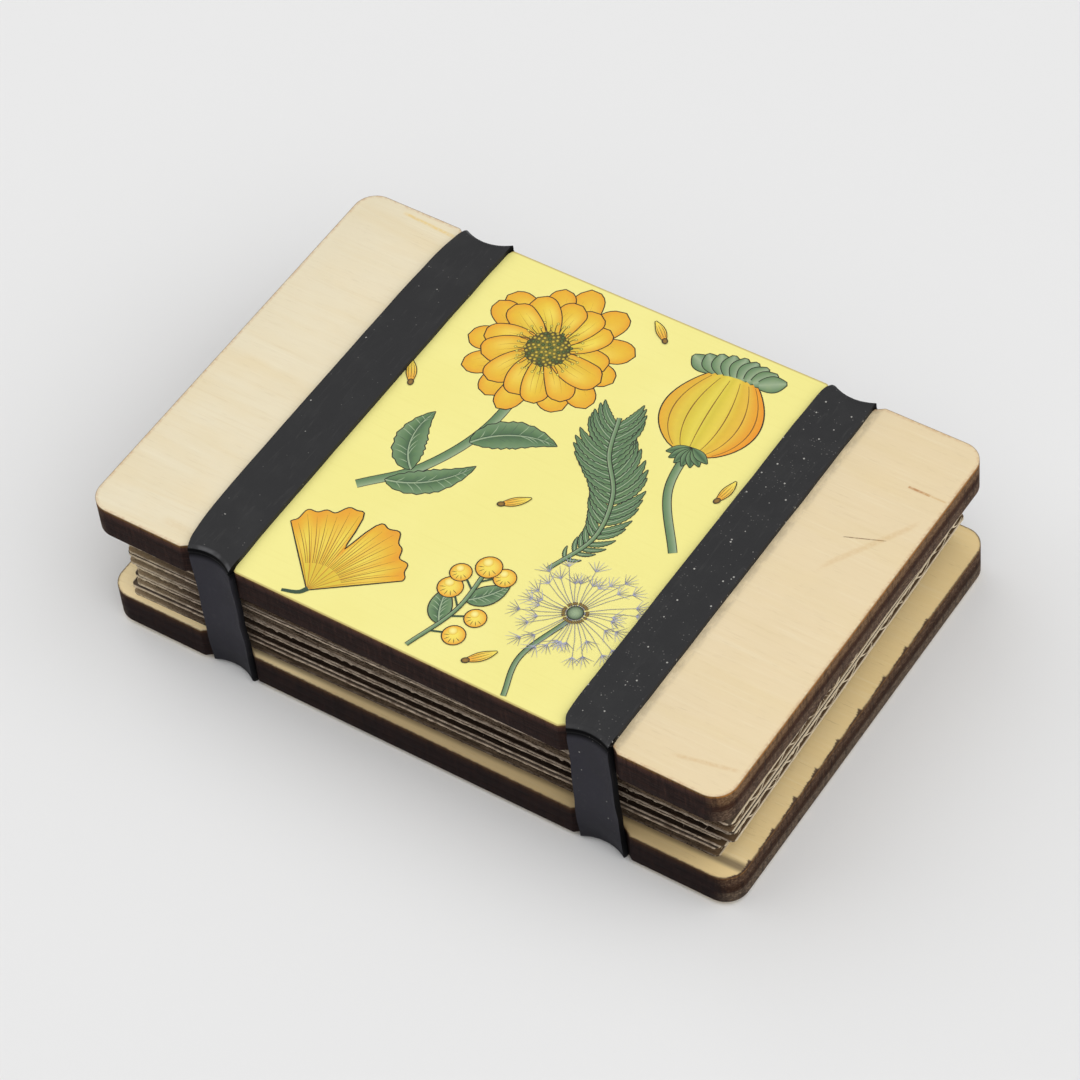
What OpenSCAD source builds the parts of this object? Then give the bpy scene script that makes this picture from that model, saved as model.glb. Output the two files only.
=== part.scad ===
// Pocket flower press: two plywood boards, a stack of corrugated cardboards and
// blotting papers between them, and two flat rubber bands round the short way.
// The boards' length runs along X and their width along Y. The origin is in the
// middle of the face that the press stands on, which is the underside of the bands.

/* [Boards] */
// Length of each board, along the grain
board_l = 122; // [100:1:240]
// Width of each board
board_w = 81.1; // [60:0.1:180]
// Thickness of each board
board_t = 6.3; // [3:0.1:12]
// Radius of the boards' corners
corner_r = 4; // [1:0.5:10]
// How far nearer the front the top board lies than the bottom one
board_slip = 0.5; // [0:0.1:1.5]
// Turn of the bottom board against the top one, in degrees
bottom_turn = 0.25; // [0:0.05:0.25]
// Thickness of the printed facing in the top board
print_t = 0.1; // [0.05:0.05:0.5]

/* [Band notches] */
// Distance from a board's end to the middle of a notch
notch_from_end = 24.65; // [18:0.05:40]
// Depth of a notch in the long edge
notch_depth = 2; // [1:0.1:4]
// Space beside the wider band in a notch, on each side
notch_side_gap = 0.4; // [0.2:0.1:2]
// Rounding of a notch's lips
lip_r = 1; // [0.4:0.1:1.5]

/* [Bands] */
// Width of the left band
band_left_w = 10.2; // [5:0.1:14]
// Width of the right band
band_right_w = 9.3; // [5:0.1:14]
// Thickness of both bands
band_t = 1; // [0.6:0.1:2]
// Gap between a band and the floor of its notch
band_gap = 0.4; // [0.35:0.05:0.5]
// Radius inside a band's folds, less than the gap that the bottom board's turn leaves
fold_r = 0.1; // [0.05:0.01:0.1]
// How far off the notch's middle the left band sits
band_left_shift = 0.3; // [0:0.05:0.3]
// How far off the notch's middle the right band sits
band_right_shift = 0.6; // [0:0.05:0.6]

/* [Sheets] */
// Thickness of a corrugated cardboard
cardboard_t = 2.3; // [1.5:0.1:5]
// Thickness of a cardboard's outer papers
liner_t = 0.3; // [0.2:0.05:0.5]
// Thickness of the wavy paper inside a cardboard
flute_t = 0.25; // [0.15:0.05:0.4]
// Distance from one flute to the next
flute_pitch = 6.05; // [3:0.05:9]
// Thickness of a blotting paper
blotter_t = 0.2; // [0.1:0.01:0.8]
// Distance from the bands' sides to the sheets' long edge, before they slip and turn
sheet_side_gap = 1.4; // [1.4:0.1:6]
// Distance from a board's end to the sheets' short edge, which each sheet takes a share of
sheet_end_gap = 3.8; // [2:0.1:8]
// How far inside the cardboards the blotting papers' edges lie
blotter_inset = 0.5; // [0:0.1:3]

/* [Hidden] */

// Pieces in the stack: two blotting papers lie between each two cardboards
cardboard_count = 6;
blotters_between = 2;
blotter_count = blotters_between * (cardboard_count - 1);
stack_h = cardboard_count * cardboard_t + blotter_count * blotter_t;

// Heights of the faces that the pieces rest on
bottom_z = band_t;
stack_z = bottom_z + board_t;
top_z = stack_z + stack_h;
band_h = top_z + board_t + band_t;
layer_h = cardboard_t + blotters_between * blotter_t;

// A notch is part of a circle whose middle lies outside the board
notch_x = board_l / 2 - notch_from_end;
notch_w = max(band_left_w, band_right_w) + 2 * notch_side_gap;
notch_r = (pow(notch_w / 2, 2) + pow(notch_depth, 2)) / (2 * notch_depth);
notch_out = notch_r - notch_depth;
lip_x = sqrt(pow(notch_r + lip_r, 2) - pow(notch_out + lip_r, 2));

// A band hugs the notch, so its sides are curved about the same middle
band_in_r = notch_r - band_gap;
band_out_r = band_in_r - band_t;
band_sweep = 100;
band_y = (board_w + board_slip) / 2;
band_reach = band_y + notch_out + band_t;

// The sheets' size, and the most that one turns before its corners take up the side gap
sheet_l = board_l - 2 * sheet_end_gap;
sheet_w = 2 * (band_y - notch_depth + band_gap - sheet_side_gap);
most_turn = atan(sheet_side_gap / (sheet_l / 2));

// How the loose cardboards lie, from the lowest up. Each row holds the gaps at the left
// and the right end as shares of sheet_end_gap, the slip to the back as a share of
// sheet_side_gap, the turn as a share of the most that fits, and where the flutes start
// as a share of flute_pitch.
cardboard_shares = [
    [0.92, 1.44, -0.25, 1.00, 0.20],
    [1.12, 1.21, 0.00, 1.00, 0.55],
    [1.28, 0.67, 0.00, 1.00, 0.10],
    [1.05, 0.70, -0.15, 0.90, 0.80],
    [1.10, 1.00, -0.20, 0.80, 0.35],
    [1.00, 0.90, 0.00, 0.20, 0.65]
];
// A blotting paper lies midway between its neighbours, give or take this share of the
// gaps, which follows the sine of a steadily growing angle so that no two papers agree
blotter_slip_share = 0.06;
slip_step = 137.5;

// Points on one wave of the corrugated paper, and how far its crests sink into the liners
wave_steps = 8;
crest_bite_share = 0.2;

// Overrun of cuts
cut = 1;
$fn = 64;

// Outline of a board without its notches
module board_blank() {
    union() {
        square([board_l - 2 * corner_r, board_w], center = true);
        square([board_l, board_w - 2 * corner_r], center = true);
        for (x = [-1, 1], y = [-1, 1])
            translate([x * (board_l / 2 - corner_r), y * (board_w / 2 - corner_r)])
                circle(corner_r);
    }
}

// One rounded lip of a notch, beside its middle, with the board's edge along X
module notch_lip() {
    difference() {
        polygon([[-lip_x, -cut], [-lip_x, lip_r], [0, -notch_out]]);
        translate([-lip_x, lip_r]) circle(lip_r);
    }
}

// The whole cut of one notch, with the board's edge along X and the board above it
module notch_cut() {
    translate([0, -notch_out]) circle(notch_r, $fn = 128);
    notch_lip();
    mirror([1, 0]) notch_lip();
}

// Outline of a board with its four notches
module board_outline() {
    difference() {
        board_blank();
        for (x = [-1, 1], y = [0, 1])
            mirror([0, y]) translate([x * notch_x, -board_w / 2]) notch_cut();
    }
}

// The stretch that the print covers, out to the middle of each band
module print_outline() {
    intersection() {
        board_outline();
        square([2 * notch_x, board_w + 2 * cut], center = true);
    }
}

module bottom_board() {
    color([0.80, 0.72, 0.52]) translate([0, board_slip / 2, bottom_z]) rotate(bottom_turn)
        linear_extrude(board_t) board_outline();
}

// The print fills a bed as deep as it is thick, so the bands lie on one level face
module top_board() {
    color([0.91, 0.86, 0.76]) translate([0, -board_slip / 2, top_z]) {
        linear_extrude(board_t - print_t) board_outline();
        translate([0, 0, board_t - print_t]) linear_extrude(print_t) difference() {
            board_outline();
            square([2 * notch_x, board_w + 2 * cut], center = true);
        }
    }
}

module printed_panel() {
    color([0.95, 0.91, 0.56]) translate([0, -board_slip / 2, top_z + board_t - print_t])
        linear_extrude(print_t) print_outline();
}

// A square with both corners on its low X side rounded
module soft_square(size, r) {
    union() {
        translate([r, 0]) square([size[0] - r, size[1]]);
        translate([0, r]) square([r, size[1] - 2 * r]);
        for (y = [r, size[1] - r]) translate([r, y]) circle(r);
    }
}

// Section of half a band, measured out from the notch's middle: its side, its two folds
// and its two straps, which run on past the middle of the boards
module band_section() {
    difference() {
        translate([band_out_r, 0])
            soft_square([band_reach - band_out_r, band_h], fold_r + band_t);
        translate([band_in_r, band_t])
            soft_square([band_reach + cut - band_in_r, band_h - 2 * band_t], fold_r);
    }
}

// A flat loop round the boards, centred in its notch and then cut to its width
module band(x, w, shift) {
    color([0.22, 0.22, 0.23]) translate([x, 0, 0])
        for (y = [0, 1]) mirror([0, y, 0]) intersection() {
            translate([0, -band_y - notch_out, 0]) rotate(90 - band_sweep / 2)
                rotate_extrude(angle = band_sweep, $fn = 128) band_section();
            translate([-shift - w / 2, -board_w, -cut]) cube([w, board_w, band_h + 2 * cut]);
        }
}

module band_left() {
    band(-notch_x, band_left_w, band_left_shift);
}

module band_right() {
    band(notch_x, band_right_w, band_right_shift);
}

// Half the height of the wave from the middle of one crest to the middle of the next
wave_a = cardboard_t / 2 - liner_t - flute_t / 2 + crest_bite_share * flute_t;

function wave_z(y, start) = cardboard_t / 2 + wave_a * sin(360 * (y / flute_pitch + start));

// Section of a cardboard: two liners with the wavy paper between them. The wave's points
// are counted by its phase, so that one falls on each crest and every crest bites its liner.
module cardboard_section(start) {
    half_waves = sheet_w / 2 / flute_pitch;
    first = floor(wave_steps * (start - half_waves));
    last = ceil(wave_steps * (start + half_waves));
    ys = [for (i = [first : last]) (i / wave_steps - start) * flute_pitch];
    square_at = [-sheet_w / 2, 0];
    translate(square_at) square([sheet_w, liner_t]);
    translate(square_at + [0, cardboard_t - liner_t]) square([sheet_w, liner_t]);
    intersection() {
        translate(square_at) square([sheet_w, cardboard_t]);
        polygon(concat(
            [for (y = ys) [y, wave_z(y, start) - flute_t / 2]],
            [for (i = [len(ys) - 1 : -1 : 0]) [ys[i], wave_z(ys[i], start) + flute_t / 2]]
        ));
    }
}

// Cardboard number i from the bottom, counted from 0, with its flutes along X
module cardboard(i) {
    s = cardboard_shares[i];
    l = board_l - (s[0] + s[1]) * sheet_end_gap;
    color([0.66, 0.60, 0.52])
        translate([(s[0] - s[1]) / 2 * sheet_end_gap, s[2] * sheet_side_gap, stack_z + i * layer_h])
            rotate(s[3] * most_turn) translate([-l / 2, 0, 0]) rotate([90, 0, 90])
                linear_extrude(l) cardboard_section(s[4]);
}

// Blotting paper number i from the bottom, counted from 0
module blotter(i) {
    layer = floor(i / blotters_between);
    s = (cardboard_shares[layer] + cardboard_shares[layer + 1]) / 2;
    off = blotter_slip_share * sin((i + 1) * slip_step);
    l = board_l - (s[0] + s[1]) * sheet_end_gap - 2 * blotter_inset;
    w = sheet_w - 2 * blotter_inset;
    z = stack_z + layer * layer_h + cardboard_t + (i % blotters_between) * blotter_t;
    color([0.90, 0.88, 0.82])
        translate([((s[0] - s[1]) / 2 + off) * sheet_end_gap, (s[2] - off) * sheet_side_gap, z])
            rotate((s[3] - abs(off)) * most_turn)
                translate([-l / 2, -w / 2, 0]) cube([l, w, blotter_t]);
}

bottom_board();
top_board();
printed_panel();
band_left();
band_right();
for (i = [0 : cardboard_count - 1])
    cardboard(i);
for (i = [0 : blotter_count - 1])
    blotter(i);
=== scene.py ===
"""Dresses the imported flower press: boards, print, rubber bands, cardboards and papers."""

import math
import random

import bmesh
import bpy
from bpy.props import FloatProperty, FloatVectorProperty, IntProperty, PointerProperty
from mathutils import Matrix, Vector, noise


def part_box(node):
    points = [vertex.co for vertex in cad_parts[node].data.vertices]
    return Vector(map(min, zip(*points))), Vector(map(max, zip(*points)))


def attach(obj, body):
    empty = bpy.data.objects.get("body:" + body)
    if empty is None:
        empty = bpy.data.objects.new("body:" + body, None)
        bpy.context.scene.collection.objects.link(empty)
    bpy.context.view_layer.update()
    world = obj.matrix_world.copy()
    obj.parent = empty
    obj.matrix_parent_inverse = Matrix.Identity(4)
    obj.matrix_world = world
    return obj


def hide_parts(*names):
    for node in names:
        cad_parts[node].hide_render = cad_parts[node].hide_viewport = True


bl_info = {
    "name": "Flower press dressing",
    "version": (1, 0, 0),
    "blender": (4, 5, 0),
    "location": "3D View > Sidebar > Press",
    "description": "Builds the visible pieces of a pocket flower press over its CAD frame",
    "category": "Object",
}

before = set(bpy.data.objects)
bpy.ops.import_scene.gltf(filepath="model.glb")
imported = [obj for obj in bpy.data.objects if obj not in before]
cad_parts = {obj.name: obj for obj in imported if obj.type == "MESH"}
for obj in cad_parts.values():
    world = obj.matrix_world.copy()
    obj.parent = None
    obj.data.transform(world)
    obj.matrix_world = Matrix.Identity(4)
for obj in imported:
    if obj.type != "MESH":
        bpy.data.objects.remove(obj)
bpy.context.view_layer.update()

# Pieces are shaped in millimetres and brought to metres when they are settled
MM = 0.001


def box_mm(node):
    """Lowest and highest corner of a CAD node in millimetres."""
    return tuple(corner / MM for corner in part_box(node))


def middle_of(node):
    """Where a board's middle lies across the press."""
    lo, hi = box_mm(node)
    return (lo.y + hi.y) / 2


def count_of(kind):
    """How many CAD nodes there are of one kind."""
    return sum(name.startswith(kind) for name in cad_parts)


# Sizes that the frame gives, in millimetres
BOARD_LOW, BOARD_HIGH = box_mm("top_board")
BOARD_L = round(BOARD_HIGH.x - BOARD_LOW.x, 2)
BOARD_W = round(BOARD_HIGH.y - BOARD_LOW.y, 2)
HALF_L, HALF_W = BOARD_L / 2, BOARD_W / 2
BOARD_SLIP = round(middle_of("bottom_board") - middle_of("top_board"), 2)
BAND_TOP = round(box_mm("band_left")[1].z, 2)
BAND_T = round(BAND_TOP - BOARD_HIGH.z, 2)
BAND_Y = (BOARD_W + BOARD_SLIP) / 2
CARDBOARDS = count_of("cardboard_")
BLOTTERS = count_of("blotter_")

# Sizes that only the CAD source names, in millimetres, and the bottom board's turn
BOTTOM_TURN = math.radians(0.25)
CORNER_R = 4
NOTCH_X = 36.35
NOTCH_R = 8.5625
NOTCH_DEPTH = 2
NOTCH_OUT = NOTCH_R - NOTCH_DEPTH
LIP_SETBACK = 0.36
BAND_GAP = 0.4
BAND_MIDDLE_R = NOTCH_R - BAND_GAP - BAND_T / 2
LINER_T = 0.3
FLUTE_T = 0.25
FLUTE_PITCH = 6.05

# Wear and grooves that the CAD source leaves out, in millimetres
SHEET_CORNER_R = 1.3
GROOVE_HALF_W = 0.14

# The drawing's film: its gap over the facing, the rise of each shape on the last and its
# thickness, in millimetres
INK_GAP = 0.002
INK_STEP = 0.00012
INK_T = 0.002


def srgb(red, green, blue):
    """A display colour from 0 to 255 as the linear colour that Blender works in."""
    def channel(c):
        c /= 255
        return c / 12.92 if c <= 0.04045 else ((c + 0.055) / 1.055) ** 2.4
    return channel(red), channel(green), channel(blue), 1


# Modelling helpers

def deselect():
    if bpy.context.mode != "OBJECT":
        bpy.ops.object.mode_set(mode="OBJECT")
    bpy.ops.object.select_all(action="DESELECT")


def take(obj):
    """Makes obj the only selected object, in object mode."""
    deselect()
    obj.select_set(True)
    bpy.context.view_layer.objects.active = obj


def pick(obj, kind, test):
    """Opens obj in edit mode with the vertices, edges or faces selected that pass the test."""
    take(obj)
    bpy.ops.object.mode_set(mode="EDIT")
    bpy.ops.mesh.select_mode(type=kind)
    bpy.ops.mesh.select_all(action="DESELECT")
    shape = bmesh.from_edit_mesh(obj.data)
    for item in {"VERT": shape.verts, "EDGE": shape.edges, "FACE": shape.faces}[kind]:
        if test(item):
            item.select_set(True)
    shape.select_flush_mode()
    bmesh.update_edit_mesh(obj.data)


def done():
    bpy.ops.object.mode_set(mode="OBJECT")


def modify(obj, kind, **settings):
    """Adds a modifier with these settings and applies it."""
    take(obj)
    modifier = obj.modifiers.new(kind, kind)
    for key, value in settings.items():
        setattr(modifier, key, value)
    bpy.ops.object.modifier_apply(modifier=modifier.name)


def join(objects):
    deselect()
    for obj in objects:
        obj.select_set(True)
    bpy.context.view_layer.objects.active = objects[0]
    bpy.ops.object.join()
    return objects[0]


def hand_over(piece, node, body):
    """Hides the node that a finished piece stands for and sets the piece on the body it rides."""
    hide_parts(node)
    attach(piece, body)


def settle(obj, name, place=None, smooth=25):
    """Applies the place, brings millimetres to metres and names the finished piece."""
    take(obj)
    bpy.ops.object.transform_apply(location=True, rotation=True, scale=True)
    obj.data.transform(Matrix.Scale(MM, 4) @ (place or Matrix.Identity(4)))
    bpy.ops.object.shade_smooth_by_angle(angle=math.radians(smooth))
    obj.name = obj.data.name = name
    return obj


def upright(edge):
    a, b = (vert.co for vert in edge.verts)
    return abs(a.x - b.x) + abs(a.y - b.y) < 1e-4


def rand_noise(x, y, z):
    """Smooth noise that runs from about 0 to 1."""
    return 0.5 + 0.5 * noise.noise(Vector((x, y, z)))


# Materials: a Value wraps a socket, so that sums and products read as plain Python

class Value:
    def __init__(self, finish, socket):
        self.finish, self.socket = finish, socket

    def maths(self, operation, *others):
        return self.finish.maths(operation, self, *others)

    def __add__(self, other):
        return self.maths("ADD", other)

    def __sub__(self, other):
        return self.maths("SUBTRACT", other)

    def __rsub__(self, other):
        return self.finish.maths("SUBTRACT", other, self)

    def __mul__(self, other):
        return self.maths("MULTIPLY", other)

    def __truediv__(self, other):
        return self.maths("DIVIDE", other)

    def __pow__(self, other):
        return self.maths("POWER", other)

    def __abs__(self):
        return self.maths("ABSOLUTE")

    __radd__ = __add__
    __rmul__ = __mul__

    def least(self, other):
        return self.maths("MINIMUM", other)

    def most(self, other):
        return self.maths("MAXIMUM", other)

    def ramp(self, start, end, low=0, high=1):
        """Eases from low at start to high at end."""
        return self.finish.add("ShaderNodeMapRange", {"interpolation_type": "SMOOTHSTEP"},
                               {0: self, 1: start, 2: end, 3: low, 4: high})


class Finish:
    """A material on the Principled shader, built from plain calls."""

    def __init__(self, name):
        self.material = bpy.data.materials.new(name)
        self.material.use_nodes = True
        self.tree = self.material.node_tree
        self.shader = self.tree.nodes["Principled BSDF"]

    def plug(self, socket, value):
        if isinstance(value, Value):
            self.tree.links.new(value.socket, socket)
        else:
            socket.default_value = value

    def add(self, kind, settings=None, values=None, out=0):
        """Adds a node, sets it, fills its sockets and returns one of its outputs."""
        node = self.tree.nodes.new(kind)
        for key, value in (settings or {}).items():
            setattr(node, key, value)
        for key, value in (values or {}).items():
            self.plug(node.inputs[key], value)
        return Value(self, node.outputs[out])

    def maths(self, operation, *values):
        return self.add("ShaderNodeMath", {"operation": operation}, dict(enumerate(values)))

    def place(self, place=None, seed=0):
        """Object coordinates in millimetres, in a turned piece's own axes."""
        back = (place or Matrix.Identity(4)).inverted()
        seat = self.add("ShaderNodeTexCoord", out="Object")
        return self.add("ShaderNodeMapping", {},
                        {"Vector": seat, "Location": back.translation + Vector((seed, 0, 0)),
                         "Rotation": back.to_euler(), "Scale": (1 / MM, 1 / MM, 1 / MM)})

    def stretch(self, vector, x, y, z):
        return self.add("ShaderNodeVectorMath", {"operation": "MULTIPLY"},
                        {0: vector, 1: (x, y, z)})

    def parts(self, vector):
        split = self.add("ShaderNodeSeparateXYZ", {}, {0: vector})
        return [Value(self, split.socket.node.outputs[i]) for i in range(3)]

    def noise(self, vector, scale=1, detail=3, rough=0.55, warp=0):
        return self.add("ShaderNodeTexNoise", {"noise_dimensions": "3D"},
                        {"Vector": vector, "Scale": scale, "Detail": detail,
                         "Roughness": rough, "Distortion": warp})

    def cells(self, vector, scale, out="Distance"):
        return self.add("ShaderNodeTexVoronoi", {}, {"Vector": vector, "Scale": scale}, out)

    def mix(self, share, first, second, blend="MIX"):
        return self.add("ShaderNodeMix", {"data_type": "RGBA", "blend_type": blend},
                        {0: share, 6: first, 7: second}, 2)

    def coats(self, tone, *coats):
        """Lays colours over a tone in turn, each by its own share."""
        for share, colour in coats:
            tone = self.mix(share, tone, colour)
        return tone

    def bump(self, height, depth):
        """Turns a height from 0 to 1 into a normal; depth is in millimetres."""
        return self.add("ShaderNodeBump", {}, {"Strength": 1, "Distance": depth * MM,
                                               "Height": height})

    def feed(self, **values):
        for key, value in values.items():
            self.plug(self.shader.inputs[key.replace("_", " ")], value)
        return self.material


def inset_from_edge(x, y):
    """How far a point of a board lies inside its outline, in millimetres."""
    across = abs(x) - (HALF_L - CORNER_R)
    along = abs(y) - (HALF_W - CORNER_R)
    past = (across.most(0) ** 2 + along.most(0) ** 2) ** 0.5
    blank = CORNER_R - past - across.most(along).least(0)
    notch = ((abs(x) - NOTCH_X) ** 2 + (abs(y) - (HALF_W + NOTCH_OUT)) ** 2) ** 0.5 - NOTCH_R
    return blank.least(notch)


def streak(x, y, start, end, width, soft):
    """Mask of a mark or a painted shadow along the grain from one point to another."""
    slope = (end[1] - start[1]) / (end[0] - start[0])
    off = abs(y - start[1] - (x - start[0]) * slope)
    across = 1 - off.ramp(width * 0.2, width)
    return across * x.ramp(start[0] - soft, start[0]) * (1 - x.ramp(end[0], end[0] + soft))


def charred_rim(finish, at, x, y, tone, scorch, nibs):
    """Lays an orange glow, a ragged char and barbs over a tone, along a board's rim.

    scorch holds the char's wobble and width and the shares of char and glow. A nib is a
    barb of the right rim: its y, reach and taper."""
    wobble, rim, char, glow = scorch
    inset = inset_from_edge(x, y)
    nibble = finish.noise(finish.stretch(at, 1, 1.6, 1), 1.1, 3, 0.7)
    edge = inset + (nibble - 0.5) * wobble
    tone = finish.coats(
        tone,
        ((1 - inset.ramp(0.05, 0.75)) * nibble.ramp(0.3, 0.7) * glow, srgb(178, 118, 58)),
        ((1 - edge.ramp(0.0, rim)) * char, srgb(62, 38, 26)))
    hair = finish.noise(finish.stretch(at, 0.8, 5, 1), 1, 3, 0.7)
    for nib_y, reach, taper in nibs:
        # Widest at the nib, a barb thins out towards the front
        width = (1 - (nib_y - y) / taper).most(0) ** 1.5 * reach + 0.25
        barb = 1 - (inset + (hair - 0.5) * 1.1).ramp(width * 0.7, width + 0.08)
        barb = barb * y.ramp(nib_y + 0.35, nib_y) * y.ramp(nib_y - 5, nib_y - 4)
        barb = barb * x.ramp(HALF_L - 11, HALF_L - 9)
        tone = finish.mix(barb * 0.95, tone, srgb(60, 30, 10))
    return tone


def veneer(name, left, right, place, pores, marks, scorch, nibs=(), painted_shadows=(), dust_and_shadow_lines=()):
    """Sanded birch face: slow figure, fine grain and pores along X, a scorched rim.

    A mark or a painted shadow is a streak: start, end, width, colour, share, softness. A line
    of dust with a painted soft shadow runs along y: x, width, colour, share."""
    finish = Finish(name)
    at = finish.place(place)
    x, y, _ = finish.parts(at)
    figure = finish.noise(finish.stretch(at, 0.02, 0.16, 0.1), 1, 4, 0.6, 0.4)
    grain = finish.noise(finish.stretch(at, 0.07, 1.7, 0.5), 1, 4, 0.65)
    pore = finish.noise(finish.stretch(at, 0.3, 6.5, 1), 1, 2, 0.5)
    cloud = finish.noise(at, 0.07, 3)
    tone = finish.coats(
        finish.mix(x.ramp(1 - HALF_L, HALF_L - 1), left, right),
        (figure.ramp(0.42, 0.72) * 0.35, srgb(226, 205, 158)),
        (cloud.ramp(0.45, 0.8) * 0.25, srgb(235, 212, 165)),
        (grain.ramp(0.52, 0.75) * 0.15, srgb(208, 184, 138)),
        (grain.ramp(0.48, 0.25) * 0.14, srgb(248, 240, 214)),
        (pore.ramp(0.64, 0.76) * pores, srgb(150, 116, 70)))
    ragged = finish.noise(at, 1.6, 2).ramp(0.25, 0.6, 0.35, 1)
    # Marks are worn to ragged patches; painted shadows lie smooth
    for streaks, wear in ((marks, ragged), (painted_shadows, 1)):
        for start, end, width, colour, share, soft in streaks:
            tone = finish.mix(streak(x, y, start, end, width, soft) * wear * share, tone, colour)
    # Dust with a painted soft shadow, in broken patches along a line across the grain
    for middle_x, width, colour, share in dust_and_shadow_lines:
        dust_and_shadow_noise = finish.noise(finish.stretch(at, 1, 0.5, 1), 0.9, 4, 0.65).ramp(0.3, 0.62)
        tone = finish.mix((1 - abs(x - middle_x).ramp(width * 0.3, width)) * dust_and_shadow_noise * share,
                          tone, colour)
    tone = charred_rim(finish, at, x, y, tone, scorch, nibs)
    height = grain * 0.6 + pore.ramp(0.6, 0.8, 0.4, 0)
    return finish.feed(Base_Color=tone, Roughness=grain.ramp(0.3, 0.8, 0.52, 0.66),
                       Normal=finish.bump(height, 0.05))


def burnt_edge(name, top, glues, side, rim, plies, glow):
    """Laser-cut edge: charred along the sides and browner at the ends, where it shows
    its plies. The colours are those of the side, of the rim under the face (outer, inner)
    and of the plies (rim, upper, core, lower); glow is the share of orange in the rim."""
    (char, brown), (outer, inner), (lip, upper, core, lower) = side, rim, plies
    first, second = glues
    finish = Finish(name)
    at = finish.place(Matrix.Translation((0, 0, top)))
    x, _, z = finish.parts(at)
    down = z * -1
    fibres = finish.noise(finish.stretch(at, 0.3, 0.3, 6), 1, 4, 0.65)
    scars = finish.noise(finish.stretch(at, 1.6, 1.6, 0.25), 1, 3, 0.6)
    speckle = finish.noise(finish.stretch(at, 1, 1, 2.2), 1.9, 4, 0.75)
    patch = finish.noise(at, 0.35, 3)
    scorch = patch.ramp(0.3, 0.6, 0.6, 1)
    cut_side = finish.coats(
        finish.mix(fibres.ramp(0.35, 0.65), char, brown),
        ((1 - down.ramp(0.8, 2.0)) * scorch, inner),
        ((1 - down.ramp(0.1, 0.75)) * scorch, outer))
    in_core = down.ramp(first, first + 0.8) * down.ramp(second, second - 0.5)
    cut_end = finish.coats(
        finish.mix(down.ramp(0.1, 0.6), lip, upper),
        (down.ramp(first - 0.2, first + 1), core),
        (down.ramp(second - 0.75, second), lower),
        (fibres.ramp(0.48, 0.68) * 0.45, brown),
        (fibres.ramp(0.46, 0.28) * 0.4, lip),
        (speckle.ramp(0.47, 0.57) * 0.5, char),
        (speckle.ramp(0.47, 0.38) * 0.4, srgb(150, 128, 102)),
        (in_core * 0.7, core),
        ((1 - down.ramp(0.1, 0.55)) * glow, srgb(190, 126, 58)))
    tone = finish.mix(abs(x).ramp(HALF_L - CORNER_R, HALF_L - 0.4), cut_side, cut_end)
    for glue in glues:
        line = 1 - abs(down - glue - (patch - 0.5) * 0.25).ramp(0.05, 0.28)
        tone = finish.mix(line * 0.2, tone, char)
    tone = finish.coats(tone, (scars.ramp(0.5, 0.65) * 0.45, char),
                        (scars.ramp(0.45, 0.3) * 0.3, inner))
    height = fibres * 0.7 + scars * 0.5
    return finish.feed(Base_Color=tone, Roughness=fibres.ramp(0.3, 0.7, 0.68, 0.85),
                       Specular_IOR_Level=0.1, Normal=finish.bump(height, 0.12))


def printed_ground(name, colour, place):
    """Matt yellow facing with the wood's figure faintly through it."""
    finish = Finish(name)
    at = finish.place(place)
    x, y, _ = finish.parts(at)
    cloud = finish.noise(at, 0.05, 3)
    grain = finish.noise(finish.stretch(at, 0.08, 1.6, 0.5), 1, 3, 0.6)
    tone = finish.coats(
        colour,
        (cloud.ramp(0.35, 0.7) * 0.5, srgb(246, 238, 152)),
        (grain.ramp(0.5, 0.8) * 0.1, srgb(222, 208, 110)),
        ((1 - inset_from_edge(x, y).ramp(0.05, 0.45)) * 0.6, srgb(150, 110, 52)))
    return finish.feed(Base_Color=tone, Roughness=cloud.ramp(0.3, 0.7, 0.5, 0.58),
                       Normal=finish.bump(grain, 0.02))


def printed_ink(name):
    """Inks of the drawing, from the colours painted on its points."""
    finish = Finish(name)
    ink = finish.add("ShaderNodeAttribute", {"attribute_name": "ink"}, out="Color")
    at = finish.place()
    wash = finish.noise(at, 0.9, 3)
    tone = finish.mix(wash.ramp(0.4, 0.7) * 0.12, ink, srgb(250, 240, 170), "SOFT_LIGHT")
    return finish.feed(Base_Color=tone, Roughness=wash.ramp(0.3, 0.7, 0.5, 0.56))


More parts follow.
